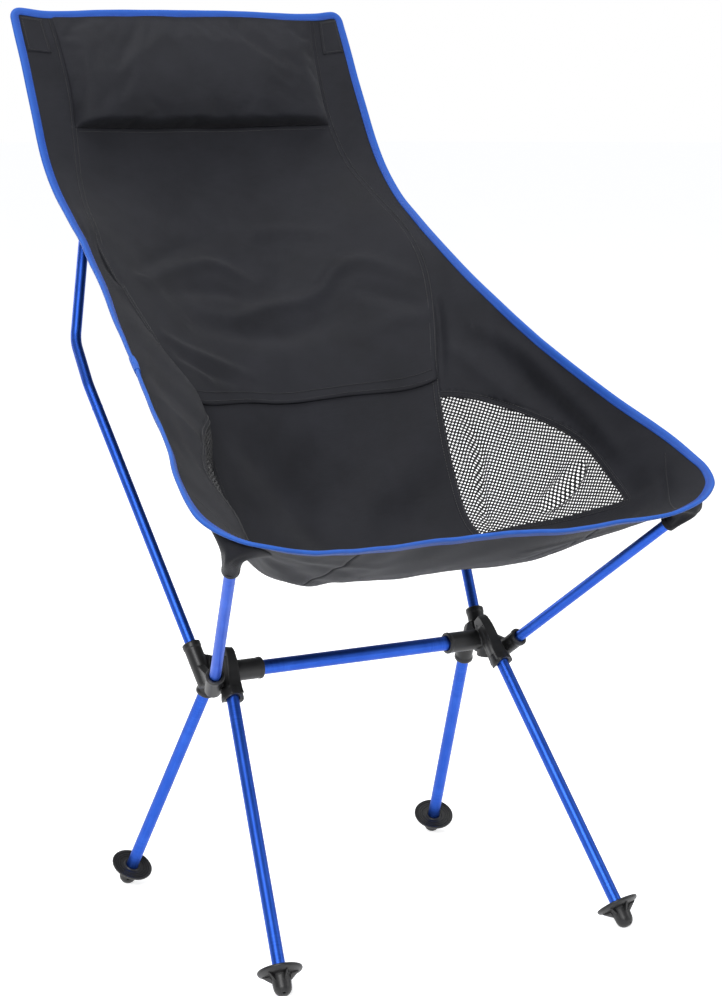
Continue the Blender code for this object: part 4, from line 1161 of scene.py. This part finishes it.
def make_pillow():
    """The pillow's cover over its wadding: a closed bag, filled, softened and sewn down below."""
    columns = 100
    rows = 50
    s, t = grid_places(np.linspace(-PILLOW_HALF, PILLOW_HALF, columns), np.linspace(PILLOW_TOP, PILLOW_T, rows))
    full = pillow_height(s, t)
    base = cloth(s, t)
    outward = sling_sides(s, t)[2]
    low = base + outward * 0.0009
    droop = sling_sides(s, t)[1] * (0.006 * full * eased((t / PILLOW_T - 0.55) / 0.35))[:, None]
    high = base + outward * (0.0014 + full * (PILLOW_HEIGHT - PILLOW_CAP * 0.5))[:, None] + droop
    points = np.concatenate([low, high])
    count = columns * rows
    faces = []
    for quad in grid_faces(columns, rows):
        faces.append(quad)
        faces.append(tuple(k + count for k in reversed(quad)))
    rim = list(range(columns))
    rim += [j * columns + columns - 1 for j in range(1, rows)]
    rim += [(rows - 1) * columns + i for i in range(columns - 2, -1, -1)]
    rim += [j * columns for j in range(rows - 2, 0, -1)]
    for a, b in zip(rim, rim[1:] + rim[:1]):
        faces.append((b, a, a + count, b + count))
    piece = add_piece("pillow", points, faces, BLACK_CLOTH, None, None)
    inflate(piece, base, outward)
    soften = piece.modifiers.new("soften", "SMOOTH")
    soften.factor = 0.5
    soften.iterations = 4
    apply_modifiers(piece)
    paint_pillow(piece)
    smooth = piece.modifiers.new("smooth", "SUBSURF")
    smooth.levels = 1
    smooth.render_levels = 1
    settle(piece, "frame", ["pillow_cover", "pillow_foam"])
    below = [(-PILLOW_HALF + 0.02, PILLOW_T + 0.004), (PILLOW_HALF - 0.02, PILLOW_T + 0.004)]
    sew(below, "black", 0.0, CLOTH)
    return piece


def apply_modifiers(piece):
    graph = bpy.context.evaluated_depsgraph_get()
    mesh = bpy.data.meshes.new_from_object(piece.evaluated_get(graph))
    old = piece.data
    piece.modifiers.clear()
    piece.data = mesh
    if not mesh.materials:
        mesh.materials.append(old.materials[0])
    mesh.shade_smooth()


def points_of(mesh):
    flat = np.empty(len(mesh.vertices) * 3, np.float32)
    mesh.vertices.foreach_get("co", flat)
    return flat.reshape(-1, 3).astype(float)


def inflate(piece, base, outward):
    """Fills the pillow by a short cloth simulation whose back and edges are sewn down."""
    rest = points_of(piece.data)
    nearest = nearest_of(rest, base)
    height = ((rest - base[nearest]) * outward[nearest]).sum(axis=1)
    pinned = piece.vertex_groups.new(name="sewn")
    pinned.add([int(k) for k in np.flatnonzero(height < 0.0030)], 1.0, "REPLACE")
    modifier = piece.modifiers.new("filling", "CLOTH")
    settings = modifier.settings
    settings.quality = 6
    settings.mass = 0.25
    settings.tension_stiffness = 25
    settings.compression_stiffness = 25
    settings.shear_stiffness = 6
    settings.bending_stiffness = 2.5
    settings.shrink_min = -0.01
    settings.use_pressure = True
    settings.uniform_pressure_force = 4.0
    settings.vertex_group_mass = "sewn"
    settings.effector_weights.gravity = 0.0
    modifier.collision_settings.use_collision = False
    modifier.point_cache.frame_start = 1
    modifier.point_cache.frame_end = SIM_FRAMES
    scene = bpy.context.scene
    for number in range(1, SIM_FRAMES + 1):
        scene.frame_set(number)
    graph = bpy.context.evaluated_depsgraph_get()
    evaluated = piece.evaluated_get(graph).to_mesh()
    moved = points_of(evaluated)
    piece.evaluated_get(graph).to_mesh_clear()
    piece.modifiers.clear()
    scene.frame_set(1)
    move = moved - rest
    size = np.linalg.norm(move, axis=1, keepdims=True)
    move *= np.minimum(1.0, PILLOW_CAP / np.maximum(size, 1e-9))
    piece.data.vertices.foreach_set("co", (rest + move).astype(np.float32).ravel())
    piece.data.update()


def nearest_of(points, targets):
    """Index of the target that is nearest to each point."""
    found = np.empty(len(points), int)
    for start in range(0, len(points), 2000):
        gaps = ((points[start : start + 2000, None] - targets[None]) ** 2).sum(axis=2)
        found[start : start + 2000] = gaps.argmin(axis=1)
    return found


def paint_pillow(piece):
    """Places for the weave, laid on as the cloth below it."""
    s, t = grid_places(np.linspace(-PILLOW_HALF, PILLOW_HALF, 60), np.linspace(0, PILLOW_T, 40))
    nearest = nearest_of(points_of(piece.data), sling(s, t))
    place = cloth_place(s[nearest], t[nearest])
    across, _, _ = sling_sides(np.zeros(1), np.full(1, PILLOW_T / 2))
    place[:, 0] = points_of(piece.data) @ across[0]
    outward = sling_sides(np.zeros(1), np.full(1, PILLOW_T / 2))[2][0]
    place[:, 1] = points_of(piece.data) @ np.cross(across[0], outward)
    attribute = piece.data.attributes.new("place", "FLOAT_VECTOR", "POINT")
    attribute.data.foreach_set("vector", place.astype(np.float32).ravel())


# ---------------------------------------------------------------- pockets
POCKET_SIDES = 48
POCKET_RINGS = 22


def make_pocket(name, node, end, along, depth, rim_centre, rim_size, side, near):
    """A gusset of cloth, sewn under a corner, over a pole's tip and drawn in to the pole.

    near is 1 where the gusset's lower side lies next to the cloth, and -1 where its upper side does."""
    mouth = end - along * depth
    angles = np.linspace(0, 2 * math.pi, POCKET_SIDES, endpoint=False)
    s = side * (rim_centre[0] + rim_size[0] * np.cos(angles))
    t = rim_centre[1] + rim_size[1] * np.sin(angles)
    rim = cloth(s, t, np.full(POCKET_SIDES, -CLOTH))
    at = np.array([side * rim_centre[0]]), np.array([rim_centre[1]])
    along_s, along_t, outward = (vectors[0] for vectors in sling_sides(*at))
    first = unit(side * (along_s - along * (along_s @ along)))
    second = outward if near > 0 else along_t
    second = unit(second - along * (second @ along) - first * (second @ first))
    ring = first[None] * np.cos(angles)[:, None] + second[None] * np.sin(angles)[:, None]
    close = eased((1 + near * np.sin(angles)) / 2)[:, None]
    over = end + along * 0.0075 + ring * 0.0098
    waist = end - along * depth * 0.5 + ring * 0.0090
    over = over * (1 - close) + (rim * 0.5 + waist * 0.5) * close
    stops = np.stack([rim, over, waist, mouth + ring * 0.0082])
    stations = np.array([0.0, 0.34, 0.72, 1.0])
    share = np.linspace(0, 1, POCKET_RINGS)
    rings = np.einsum("nk,kac->nac", spline_weights(stations, bend_matrix(stations), share), stops)
    slack = np.sin(math.pi * share)[:, None] * np.sin(angles * 5 + 0.7 * side + 3.0 * share[:, None])
    rings += ring[None] * (0.0012 * slack)[:, :, None]
    points = rings.reshape(-1, 3)
    faces = ring_faces(POCKET_RINGS, POCKET_SIDES)
    place = np.stack([np.tile(angles * 0.012, POCKET_RINGS), np.repeat(share * 0.05, POCKET_SIDES),
                      np.zeros(len(points))], axis=1)
    piece = add_piece(name, points, faces, BLACK_CLOTH, place, "frame", [node], smooth=50)
    thicken(piece, CLOTH)
    hem = rounded_profile([(0.0071, 0.0), (0.0090, 0.0), (0.0092, 0.0060), (0.0078, 0.0066)], 0.0008)
    hem += [(0.0071, 0.0066), (0.0071, 0.0)]
    hem_points, hem_faces, hem_places = spun(hem, mouth - along * 0.0004, along, 48)
    add_piece(name + "_hem", hem_points, hem_faces, BLACK_CLOTH, hem_places, "frame", smooth=50)
    return piece


def make_pockets():
    for side_name, side in SIDES.items():
        low, high = axis_of("seat_pole_" + side_name)
        make_pocket("corner_pocket_" + side_name, "front_pocket_" + side_name, high, unit(high - low), 0.032,
                    (0.875, 0.950), (0.085, 0.036), side, -1)
        bend, tip = upper_tip(side_name)
        make_pocket("back_pocket_" + side_name, "top_pocket_" + side_name, tip, unit(tip - bend), 0.034,
                    (0.845, 0.037), (0.125, 0.031), side, 1)


# ---------------------------------------------------------------- poles
# The upper back pole's corners, from its joint to its tip, on the right side.
BACK_CORNERS = [(0.2100, 0.1805, 0.6007), (0.1710, 0.2345, 0.7450), (0.1980, 0.3535, 0.9480)]
BEND_RADIUS = 0.045
STRAIGHT_START = 0.030


def filleted(corners, radius, steps):
    """A path through corners with an arc at each inner one."""
    path = [corners[0]]
    for before, corner, after in zip(corners, corners[1:], corners[2:]):
        into = unit(corner - before)
        out = unit(after - corner)
        turn = math.acos(float(np.clip(into @ out, -1, 1)))
        reach = radius * math.tan(turn / 2)
        centre = corner + unit(out - into) * radius / math.cos(turn / 2)
        axis = Vector(np.cross(into, out)).normalized()
        first = Vector(corner - into * reach - centre)
        for k in range(steps + 1):
            path.append(centre + np.array(Matrix.Rotation(turn * k / steps, 3, axis) @ first))
    return path + [corners[-1]]


def upper_tip(side_name):
    mirror = np.array([SIDES[side_name], 1.0, 1.0])
    return np.array(BACK_CORNERS[1]) * mirror, np.array(BACK_CORNERS[2]) * mirror


def densified(path, spacing=0.012):
    return resampled(path, spacing)


def make_poles():
    for side_name, side in SIDES.items():
        mirror = np.array([side, 1.0, 1.0])
        low, high = axis_of("seat_pole_" + side_name)
        pipe("seat_tube_" + side_name, densified([low, high]), POLE_RADIUS, BLUE_TUBE, TUBE_WALL, ends=0.05,
             replaces=["seat_pole_" + side_name])
        low, high = axis_of("back_pole_lower_" + side_name)
        pipe("back_tube_lower_" + side_name, densified([low, high]), POLE_RADIUS, BLUE_TUBE, TUBE_WALL,
             ends=0.05, replaces=["back_pole_lower_" + side_name])
        along = unit(high - low)
        joint = high + along * 0.0006
        corners = [joint, joint + along * STRAIGHT_START] + [np.array(c) * mirror for c in BACK_CORNERS]
        path = filleted(corners, BEND_RADIUS, 14)
        pipe("back_tube_upper_" + side_name, fine_path(path), POLE_RADIUS, BLUE_TUBE, TUBE_WALL, ends=0.03,
             replaces=["back_pole_upper_" + side_name])
        ring = [(POLE_RADIUS - 0.0003, -0.0011), (POLE_RADIUS + 0.00025, -0.0011),
                (POLE_RADIUS + 0.00025, 0.0011), (POLE_RADIUS - 0.0003, 0.0011)]
        turned_piece("joint_ring_" + side_name, rounded_profile(ring, 0.0003), joint, along, BLUE_TUBE,
                     closed=True)
        sleeve = [(0.0040, -0.022), (0.0047, -0.022), (0.0047, 0.022), (0.0040, 0.022)]
        turned_piece("inner_sleeve_" + side_name, sleeve, joint, along, BARE_TUBE,
                     closed=True, replaces=["ferrule_" + side_name])
    left, right = bar_ends()
    pipe("crossbar_tube", densified([left, right]), BAR_RADIUS, BLUE_TUBE, TUBE_WALL, ends=0.05,
         replaces=["crossbar"])


def fine_path(path):
    """Keeps the arcs' own points and adds some to the long straights."""
    done = [path[0]]
    for a, b in zip(path, path[1:]):
        count = max(1, int(np.linalg.norm(b - a) / 0.02))
        done += [a + (b - a) * k / count for k in range(1, count + 1)]
    return np.array(done)


def bar_ends():
    low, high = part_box("crossbar")
    y = (low.y + high.y) / 2
    z = (low.z + high.z) / 2
    return np.array([low.x, y, z]), np.array([high.x, y, z])


def turned_piece(name, profile, origin, axis, material, steps=64, body="frame", replaces=(),
                 closed=False):
    """A piece turned about an axis. A closed profile makes a ring."""
    if closed:
        profile = list(profile) + [profile[0]]
    points, faces, places = spun(profile, np.asarray(origin, float), axis, steps)
    if closed:
        points = points[:-steps]
        places = places[:-steps]
        count = len(points)
        faces = [tuple(k % count for k in face) for face in faces]
    return add_piece(name, points, faces, material, places, body, replaces, smooth=38)


# ---------------------------------------------------------------- feet and legs
FOOT_STEPS = 72
FIN_COUNT = 6


def foot_profile(ball):
    """Ball end, cup, grooved disc and the mouth that the leg goes through, from the bottom up."""
    flat = 0.0006
    start = math.acos(1 - flat / FOOT_BALL_RADIUS)
    bottom = [(0.0, -ball - FOOT_BALL_RADIUS * math.cos(start))]
    bottom += [(FOOT_BALL_RADIUS * math.sin(a), -ball - FOOT_BALL_RADIUS * math.cos(a))
               for a in np.linspace(start, math.radians(90), 12)]
    under = rounded_profile([bottom[-1], (0.0101, -0.0050), (0.0110, -0.0034), (0.0170, -0.0026),
                             (FOOT_DISC_RADIUS - 0.0008, -0.0004), (FOOT_DISC_RADIUS, 0.0012),
                             (FOOT_DISC_RADIUS - 0.0003, 0.0027), (FOOT_DISC_RADIUS - 0.0015, 0.0027),
                             (FOOT_DISC_RADIUS - 0.0020, 0.0019)], 0.0006, 3)
    grooves = []
    for radius in np.arange(FOOT_DISC_RADIUS - 0.0042, 0.0115, -0.0026):
        grooves += [(radius + 0.0009, 0.0016), (radius + 0.0006, 0.0010), (radius - 0.0002, 0.0010),
                    (radius - 0.0005, 0.0016)]
    mouth = rounded_profile([grooves[-1], (0.0098, 0.0014), (0.0088, 0.0026), (LEG_RADIUS + FIT, 0.0024),
                             (LEG_RADIUS + FIT, -0.0060)], 0.0005, 3)
    return bottom[:-1] + under + grooves + mouth[1:] + [(0.0, -0.0060)]


def make_foot(side_name, end_name, disc, up, body):
    ball = (disc[2] - FOOT_BALL_RADIUS + 0.0006) / up[2]
    name = f"{end_name}_foot_{side_name}"
    foot = turned_piece(name, foot_profile(ball), disc, up, BLACK_MOULDING, FOOT_STEPS, body=None)
    helper = unit(np.cross(up, [1.0, 0.0, 0.0]))
    other = np.cross(up, helper)
    tools = []
    for k in range(FIN_COUNT):
        angle = 2 * math.pi * k / FIN_COUNT
        out = helper * math.cos(angle) + other * math.sin(angle)
        tools.append(fin(disc, up, out, np.cross(up, out)))
    for tool in tools:
        add_boolean(foot, tool, "UNION")
    hole_axis = unit(np.array([0.35, -1.0, 0.0]) * np.array([SIDES[side_name], 1.0, 1.0]))
    hole_at = disc - up * (ball + FOOT_BALL_RADIUS * 0.30)
    tools.append(slot_cutter(hole_at, hole_axis))
    add_boolean(foot, tools[-1], "DIFFERENCE")
    ground = bpy.data.objects.new("ground_cutter", box_mesh(np.array([disc[0], disc[1], -0.03]), 0.06))
    bpy.context.scene.collection.objects.link(ground)
    tools.append(ground)
    add_boolean(foot, ground, "DIFFERENCE")
    apply_modifiers(foot)
    for tool in tools:
        bpy.data.objects.remove(tool)
    foot.data.set_sharp_from_angle(angle=math.radians(38))
    return settle(foot, body, [f"foot_{end_name}_{side_name}"])


def add_boolean(target, tool, operation):
    modifier = target.modifiers.new(tool.name, "BOOLEAN")
    modifier.operation = operation
    modifier.solver = "EXACT"
    modifier.object = tool


def bare_object(name, points, faces):
    """A helper solid with its faces turned outwards."""
    mesh = bpy.data.meshes.new(name)
    mesh.from_pydata([tuple(p) for p in points], [], faces)
    fix = bmesh.new()
    fix.from_mesh(mesh)
    bmesh.ops.recalc_face_normals(fix, faces=fix.faces)
    fix.to_mesh(mesh)
    fix.free()
    made = bpy.data.objects.new(name, mesh)
    bpy.context.scene.collection.objects.link(made)
    return made


def box_mesh(centre, size):
    mesh = bpy.data.meshes.new("box")
    solid = bmesh.new()
    bmesh.ops.create_cube(solid, size=size, matrix=Matrix.Translation(centre))
    solid.to_mesh(mesh)
    solid.free()
    return mesh


def fin(disc, up, out, across):
    """A rib between the cup and the underside of the disc."""
    outline = [(0.0080, -0.0105), (0.0098, -0.0100), (0.0185, -0.0030), (0.0185, -0.0016), (0.0080, -0.0016)]
    half = 0.0007
    points = [disc + out * r + up * h + across * w for w in (-half, half) for r, h in outline]
    return bare_object("fin", points, prism_faces(len(outline)))


def slot_cutter(centre, axis):
    """An oval rod that cuts the cord hole through the foot's end."""
    side_way = unit(np.cross(axis, [0.0, 0.0, 1.0]))
    up_way = np.cross(side_way, axis)
    steps = 24
    points = []
    for reach in (-0.03, 0.03):
        for k in range(steps):
            angle = 2 * math.pi * k / steps
            wide = math.copysign(abs(math.cos(angle)) ** 0.7, math.cos(angle)) * 0.0017
            points.append(centre + axis * reach + side_way * wide + up_way * math.sin(angle) * 0.0008)
    faces = ring_faces(2, steps) + [tuple(range(steps)), tuple(range(2 * steps - 1, steps - 1, -1))]
    return bare_object("slot", points, faces)


PLUG_INSIDE = LEG_RADIUS - TUBE_WALL - 0.0003
PLUG_HOLE = CORD_RADIUS + 0.0003


def make_legs():
    for side_name in SIDES:
        for end_name in ("front", "rear"):
            body = f"{end_name}_leg_{side_name}"
            tag = f"{end_name}_{side_name}"
            low, high = axis_of("leg_" + tag)
            up = unit(high - low)
            disc = low + up * FOOT_SOCKET
            mouth = high - up * LEG_TUBE_DEPTH
            pipe(f"{end_name}_leg_tube_{side_name}", densified([low + up * 0.006, high]), LEG_RADIUS, BLUE_TUBE,
                 TUBE_WALL, ends=0.05, body=body, replaces=["leg_" + tag])
            make_foot(side_name, end_name, disc, up, body)
            reach = 0.0100
            profile = rounded_profile(
                [(PLUG_HOLE, -0.012), (PLUG_INSIDE, -0.012), (PLUG_INSIDE, 0.0003), (0.0062, 0.0003),
                 (0.0062, 0.0020), (0.0056, 0.0050), (0.0043, reach), (PLUG_HOLE, reach)], 0.0004, 3)
            turned_piece(f"{end_name}_leg_plug_{side_name}", profile, high, up, PLUG_MOULDING, 48, body=body,
                         replaces=["plug_" + tag], closed=True)
            make_stretch_cord(end_name, side_name, mouth, up)


# Heights above the socket's mouth: the cord's knotted top, where its stretch starts and stops, and its low end.
CORD_TOP = 0.0195
STRETCH_START = 0.0130
STRETCH_END = 0.0060
CORD_END = -0.0400


def make_stretch_cord(end_name, side_name, mouth, up):
    """The elastic cord, from its knot in the hub through the plug into the leg. The real cord stretches as the
    leg folds; here it is laid straight, with close rings over its stretch.
    """
    top = mouth + up * CORD_TOP
    heights = np.concatenate([np.linspace(CORD_TOP, STRETCH_START, 5)[:-1],
                              np.linspace(STRETCH_START, STRETCH_END, 70)[:-1],
                              np.linspace(STRETCH_END, CORD_END, 12)])
    path = [mouth + up * height for height in heights]
    tag = f"{end_name}_{side_name}"
    piece = pipe(f"{end_name}_leg_cord_{side_name}", path, CORD_RADIUS, CORD_SLEEVE, sides=14, body=None,
                 replaces=["cord_" + tag, "cord_stop_" + tag])
    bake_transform(piece)
    knot = rounded_profile([(0.0, 0.0), (0.0023, 0.0), (0.0025, 0.0024), (0.0020, 0.0044), (0.0, 0.0044)],
                           0.0008, 5)
    turned_piece(f"{end_name}_cord_knot_{side_name}", knot, top - up * 0.0030, up, CORD_SLEEVE, 24)
    return piece


# ---------------------------------------------------------------- hubs
HUB_VOXEL = 0.00062


def arm_profile(length, radius, lip, lip_length=0.0050, round_off=0.0010):
    """A socket arm from its mouth inwards, with a rounded lip."""
    return rounded_profile([(0.0, 0.0), (radius + lip, 0.0), (radius + lip, lip_length),
                            (radius, lip_length + lip), (radius, length - 0.003), (0.0, length)], round_off, 5)


# (distance up from the front leg's mouth, half width) along the leaf, and half its thickness, which falls off
LEAF_STATIONS = [(0.000, 0.0108), (0.006, 0.0098), (0.014, 0.0096), (0.022, 0.0101), (0.030, 0.0108),
                 (0.038, 0.0111), (0.044, 0.0107), (0.050, 0.0092), (0.054, 0.0066)]
LEAF_HALF = 0.0074
LEAF_TAPER = 6.0            # by this share for each metre


def leaf_solid(mouth, up, side):
    """The leaf-shaped web that runs up from the front leg's socket."""
    across = unit(np.array([0.0, 1.0, 0.0]) - up * up[1])
    through = np.cross(up, across)
    outline = LEAF_STATIONS + [(u, -w) for u, w in reversed(LEAF_STATIONS)]
    start = mouth + np.array([-side * 0.0015, 0.0, 0.0])
    points = []
    for half in (-LEAF_HALF, LEAF_HALF):
        points += [start + up * u + across * w + through * half * (1 - LEAF_TAPER * u) for u, w in outline]
    return points, prism_faces(len(outline))


def web_solid(corners, half):
    """A flat web between two arms, half is half its thickness."""
    corners = np.array(corners)
    across = unit(np.cross(corners[1] - corners[0], corners[-1] - corners[0]))
    return np.concatenate([corners - across * half, corners + across * half]), prism_faces(len(corners))


def make_hub_right():
    """Joins arms and web, softens every junction as a mould would, then bores the sockets."""
    side = 1.0
    mouths = {}
    for end_name in ("front", "rear"):
        low, high = axis_of(f"leg_{end_name}_right")
        up = unit(high - low)
        mouths[end_name] = (high - up * LEG_TUBE_DEPTH, up)
    low, high = axis_of("seat_pole_right")
    along = unit(high - low)
    mouths["seat"] = (low + along * SOCKET_DEPTH, -along)
    low, high = axis_of("back_pole_lower_right")
    along = unit(high - low)
    mouths["back"] = (low + along * SOCKET_DEPTH, -along)
    right_end = bar_ends()[1]
    mouths["bar"] = (right_end - np.array([SOCKET_DEPTH, 0, 0]), np.array([1.0, 0.0, 0.0]))

    front_mouth, front_up = mouths["front"]
    solids = [leaf_solid(front_mouth, front_up, side)]
    shapes = [
        (mouths["front"], arm_profile(0.046, 0.0090, 0.0002)),
        ((mouths["rear"][0] + mouths["rear"][1] * 0.0040, mouths["rear"][1]),
         arm_profile(0.036, 0.0093, 0.0011, 0.0040)),
        (mouths["back"], arm_profile(0.052, 0.0094, 0.0006, 0.0060)),
        (mouths["seat"], arm_profile(0.040, 0.0090, 0.0011, 0.0045)),
        (mouths["bar"], arm_profile(0.048, 0.0112, 0.0006, 0.0035)),
        ((front_mouth, front_up), rounded_profile(
            [(0.0, -0.005), (0.0117, -0.005), (0.0120, -0.002), (0.0104, 0.008), (0.0, 0.013)], 0.0008, 4)),
        ((front_mouth + np.array([0.0028, 0.0324, -0.0014]), np.array([0.0, 0.0, 1.0])),
         [(0.0, 0.0), (0.012, 0.0), (0.0125, 0.020), (0.0, 0.024)]),
    ]
    points = []
    faces = []
    back_mouth, back_in = mouths["back"]
    bar_mouth, bar_in = mouths["bar"]
    bar_web = [back_mouth + back_in * 0.013, back_mouth + back_in * 0.045, bar_mouth + bar_in * 0.046,
               bar_mouth + bar_in * 0.021, back_mouth + back_in * 0.017 - bar_in * 0.0145]
    seat_mouth, seat_in = mouths["seat"]
    seat_web = [seat_mouth + seat_in * 0.012, seat_mouth + seat_in * 0.040, back_mouth + back_in * 0.048,
                back_mouth + back_in * 0.022]
    solids += [web_solid(bar_web, 0.0046), web_solid(seat_web, 0.0040)]
    for (origin, inward), profile in shapes:
        solid_points, solid_faces, _ = spun(profile, origin, inward, 56)
        solids.append((list(solid_points), solid_faces))
    for solid_points, solid_faces in solids:
        first = len(points)
        points += list(solid_points)
        faces += [tuple(first + k for k in face) for face in solid_faces]
    joined = add_piece("hub_body_right", points, faces, BLACK_MOULDING, None, None)
    remesh = joined.modifiers.new("remesh", "REMESH")
    remesh.mode = "VOXEL"
    remesh.voxel_size = HUB_VOXEL
    soften = joined.modifiers.new("soften", "SMOOTH")
    soften.factor = 0.5
    soften.iterations = 6
    apply_modifiers(joined)
    tools = hub_cutters(mouths)
    for tool in tools:
        add_boolean(joined, tool, "DIFFERENCE")
    apply_modifiers(joined)
    for tool in tools:
        bpy.data.objects.remove(tool)
    joined.data.set_sharp_from_angle(angle=math.radians(50))
    return joined


def hub_cutters(mouths):
    """Sockets, the saddle under the front leg's mouth, and the small moulding holes of the web."""
    tools = []
    sizes = {"front": (LEG_RADIUS, 0.015), "rear": (LEG_RADIUS, 0.015), "seat": (POLE_RADIUS, SOCKET_DEPTH),
             "back": (POLE_RADIUS, SOCKET_DEPTH), "bar": (BAR_RADIUS, SOCKET_DEPTH)}
    for key, (radius, depth) in sizes.items():
        mouth, inward = mouths[key]
        profile = [(0.0, -0.012), (radius + 0.0013, -0.012), (radius + 0.0013, 0.0000), (radius + FIT, 0.0010),
                   (radius + FIT, depth + 0.0003), (0.0, depth + 0.0003)]
        if key in ("front", "rear"):
            profile[-1:] = [(0.0030, depth + 0.0003), (0.0030, 0.0225), (0.0, 0.0225)]
        points, faces, _ = spun(profile, mouth, inward, 56)
        tools.append(bare_object("bore_" + key, points, faces))
    mouth, up = mouths["front"]
    across = unit(np.array([0.0, 1.0, 0.0]) - up * up[1])
    radius = 0.0150
    points, faces, _ = spun([(0.0, 0.0), (radius, 0.0), (radius, 0.04), (0.0, 0.04)],
                            mouth - up * (radius + 0.0012) - across * 0.02, across, 56)
    tools.append(bare_object("saddle", points, faces))
    through = np.cross(up, across)
    for height, shift, size in ((0.0470, 0.0040, 0.0011), (0.0420, -0.0080, 0.0009)):
        points, faces, _ = spun([(0.0, -0.02), (size, -0.02), (size, 0.02), (0.0, 0.02)],
                                mouth + up * height + across * shift, through, 24)
        tools.append(bare_object("moulding_hole", points, faces))
    return tools


def mirrored_piece(piece, name):
    mesh = piece.data.copy()
    mesh.transform(Matrix.Scale(-1.0, 4, (1.0, 0.0, 0.0)))
    mesh.flip_normals()
    made = bpy.data.objects.new(name, mesh)
    bpy.context.scene.collection.objects.link(made)
    return made


def make_hubs():
    right = make_hub_right()
    left = mirrored_piece(right, "hub_body_left")
    settle(right, "frame", ["hub_right"])
    settle(left, "frame", ["hub_left"])


# ---------------------------------------------------------------- inner pieces that keep their solids
KEPT = {"seat_pole_tip": PLUG_MOULDING, "back_pole_tip": PLUG_MOULDING, "cord_seat_pole": CORD_SLEEVE,
        "cord_back_pole": CORD_SLEEVE, "cord_crossbar": CORD_SLEEVE}


def dress_kept():
    for name, node in NODES.items():
        for start, material in KEPT.items():
            if name.startswith(start):
                node.data.materials.clear()
                node.data.materials.append(material)


# ---------------------------------------------------------------- stage, light and camera
CAMERA_AZIMUTH = math.radians(-29.18)
CAMERA_ELEVATION = math.radians(9.2)
CAMERA_DISTANCE = 2.615
CAMERA_TARGET = Vector((0.0, -0.1125, 0.480))
CAMERA_LENS = 89.37
CAMERA_SHIFT = (-0.0080, -0.0278)


def make_camera():
    data = bpy.data.cameras.new("camera")
    data.sensor_width = 36.0
    data.lens = CAMERA_LENS
    data.shift_x, data.shift_y = CAMERA_SHIFT
    camera = bpy.data.objects.new("camera", data)
    bpy.context.scene.collection.objects.link(camera)
    back = Vector((math.sin(CAMERA_AZIMUTH) * math.cos(CAMERA_ELEVATION),
                   -math.cos(CAMERA_AZIMUTH) * math.cos(CAMERA_ELEVATION), math.sin(CAMERA_ELEVATION)))
    camera.location = CAMERA_TARGET + back * CAMERA_DISTANCE
    camera.rotation_mode = "QUATERNION"
    camera.rotation_quaternion = (-back).to_track_quat("-Z", "Y")
    bpy.context.scene.camera = camera


LIGHTS = {                  # place, height that it faces, width and power of each square panel
    "key": ((-2.4, -2.8, 2.5), 0.5, 1.4, 116),
    "fill": ((2.8, -2.2, 1.6), 0.5, 1.6, 28),
    "top": ((0.0, 0.3, 3.4), 0.3, 2.4, 42),
    "back": ((-1.2, 3.0, 1.6), 0.6, 1.6, 30),
}
WORLD_STRENGTH = 0.37
FLOOR_REACH = 30.0
BACKDROP_REACH = 29.0


def area_light(name, place, target, size, power):
    data = bpy.data.lights.new(name, "AREA")
    data.shape = "SQUARE"
    data.size = size
    data.energy = power
    light = bpy.data.objects.new(name, data)
    light.location = place
    light.rotation_mode = "QUATERNION"
    light.rotation_quaternion = (Vector(target) - Vector(place)).to_track_quat("-Z", "Y")
    bpy.context.scene.collection.objects.link(light)


def make_stage():
    scene = bpy.context.scene
    scene.view_settings.view_transform = "Standard"
    floor_mesh = bpy.data.meshes.new("floor")
    solid = bmesh.new()
    bmesh.ops.create_circle(solid, cap_ends=True, segments=96, radius=FLOOR_REACH)
    solid.to_mesh(floor_mesh)
    solid.free()
    floor_mesh.materials.append(plain_floor("floor"))
    floor = bpy.data.objects.new("floor", floor_mesh)
    scene.collection.objects.link(floor)

    sky_mesh = bpy.data.meshes.new("backdrop")
    solid = bmesh.new()
    bmesh.ops.create_uvsphere(solid, u_segments=48, v_segments=24, radius=BACKDROP_REACH)
    solid.to_mesh(sky_mesh)
    solid.free()
    material = bpy.data.materials.new("backdrop")
    material.use_nodes = True
    nodes = material.node_tree.nodes
    nodes.clear()
    glow = nodes.new("ShaderNodeEmission")
    glow.inputs["Color"].default_value = (1.0, 1.0, 1.0, 1.0)
    glow.inputs["Strength"].default_value = 1.0
    output = nodes.new("ShaderNodeOutputMaterial")
    material.node_tree.links.new(glow.outputs[0], output.inputs[0])
    sky_mesh.materials.append(material)
    backdrop = bpy.data.objects.new("backdrop", sky_mesh)
    scene.collection.objects.link(backdrop)
    backdrop.visible_diffuse = False
    backdrop.visible_glossy = False
    backdrop.visible_transmission = False
    backdrop.visible_shadow = False
    floor.visible_diffuse = False

    world = bpy.data.worlds.new("studio")
    world.use_nodes = True
    world.node_tree.nodes["Background"].inputs["Color"].default_value = (0.95, 0.97, 1.0, 1.0)
    world.node_tree.nodes["Background"].inputs["Strength"].default_value = WORLD_STRENGTH
    scene.world = world
    for name, (place, target_height, size, power) in LIGHTS.items():
        area_light(name, place, (0.0, 0.0, target_height), size, power)


# ---------------------------------------------------------------- putting it together
make_camera()
make_stage()
make_poles()
make_legs()
make_hubs()
make_panels()
make_seams()
make_tape()
for side_name, side in SIDES.items():
    make_net(side_name, side)
make_pillow()
make_pockets()
dress_kept()
make_stitches("black_stitching", "black", BLACK_THREAD)
make_stitches("blue_stitching", "blue", BLUE_THREAD)
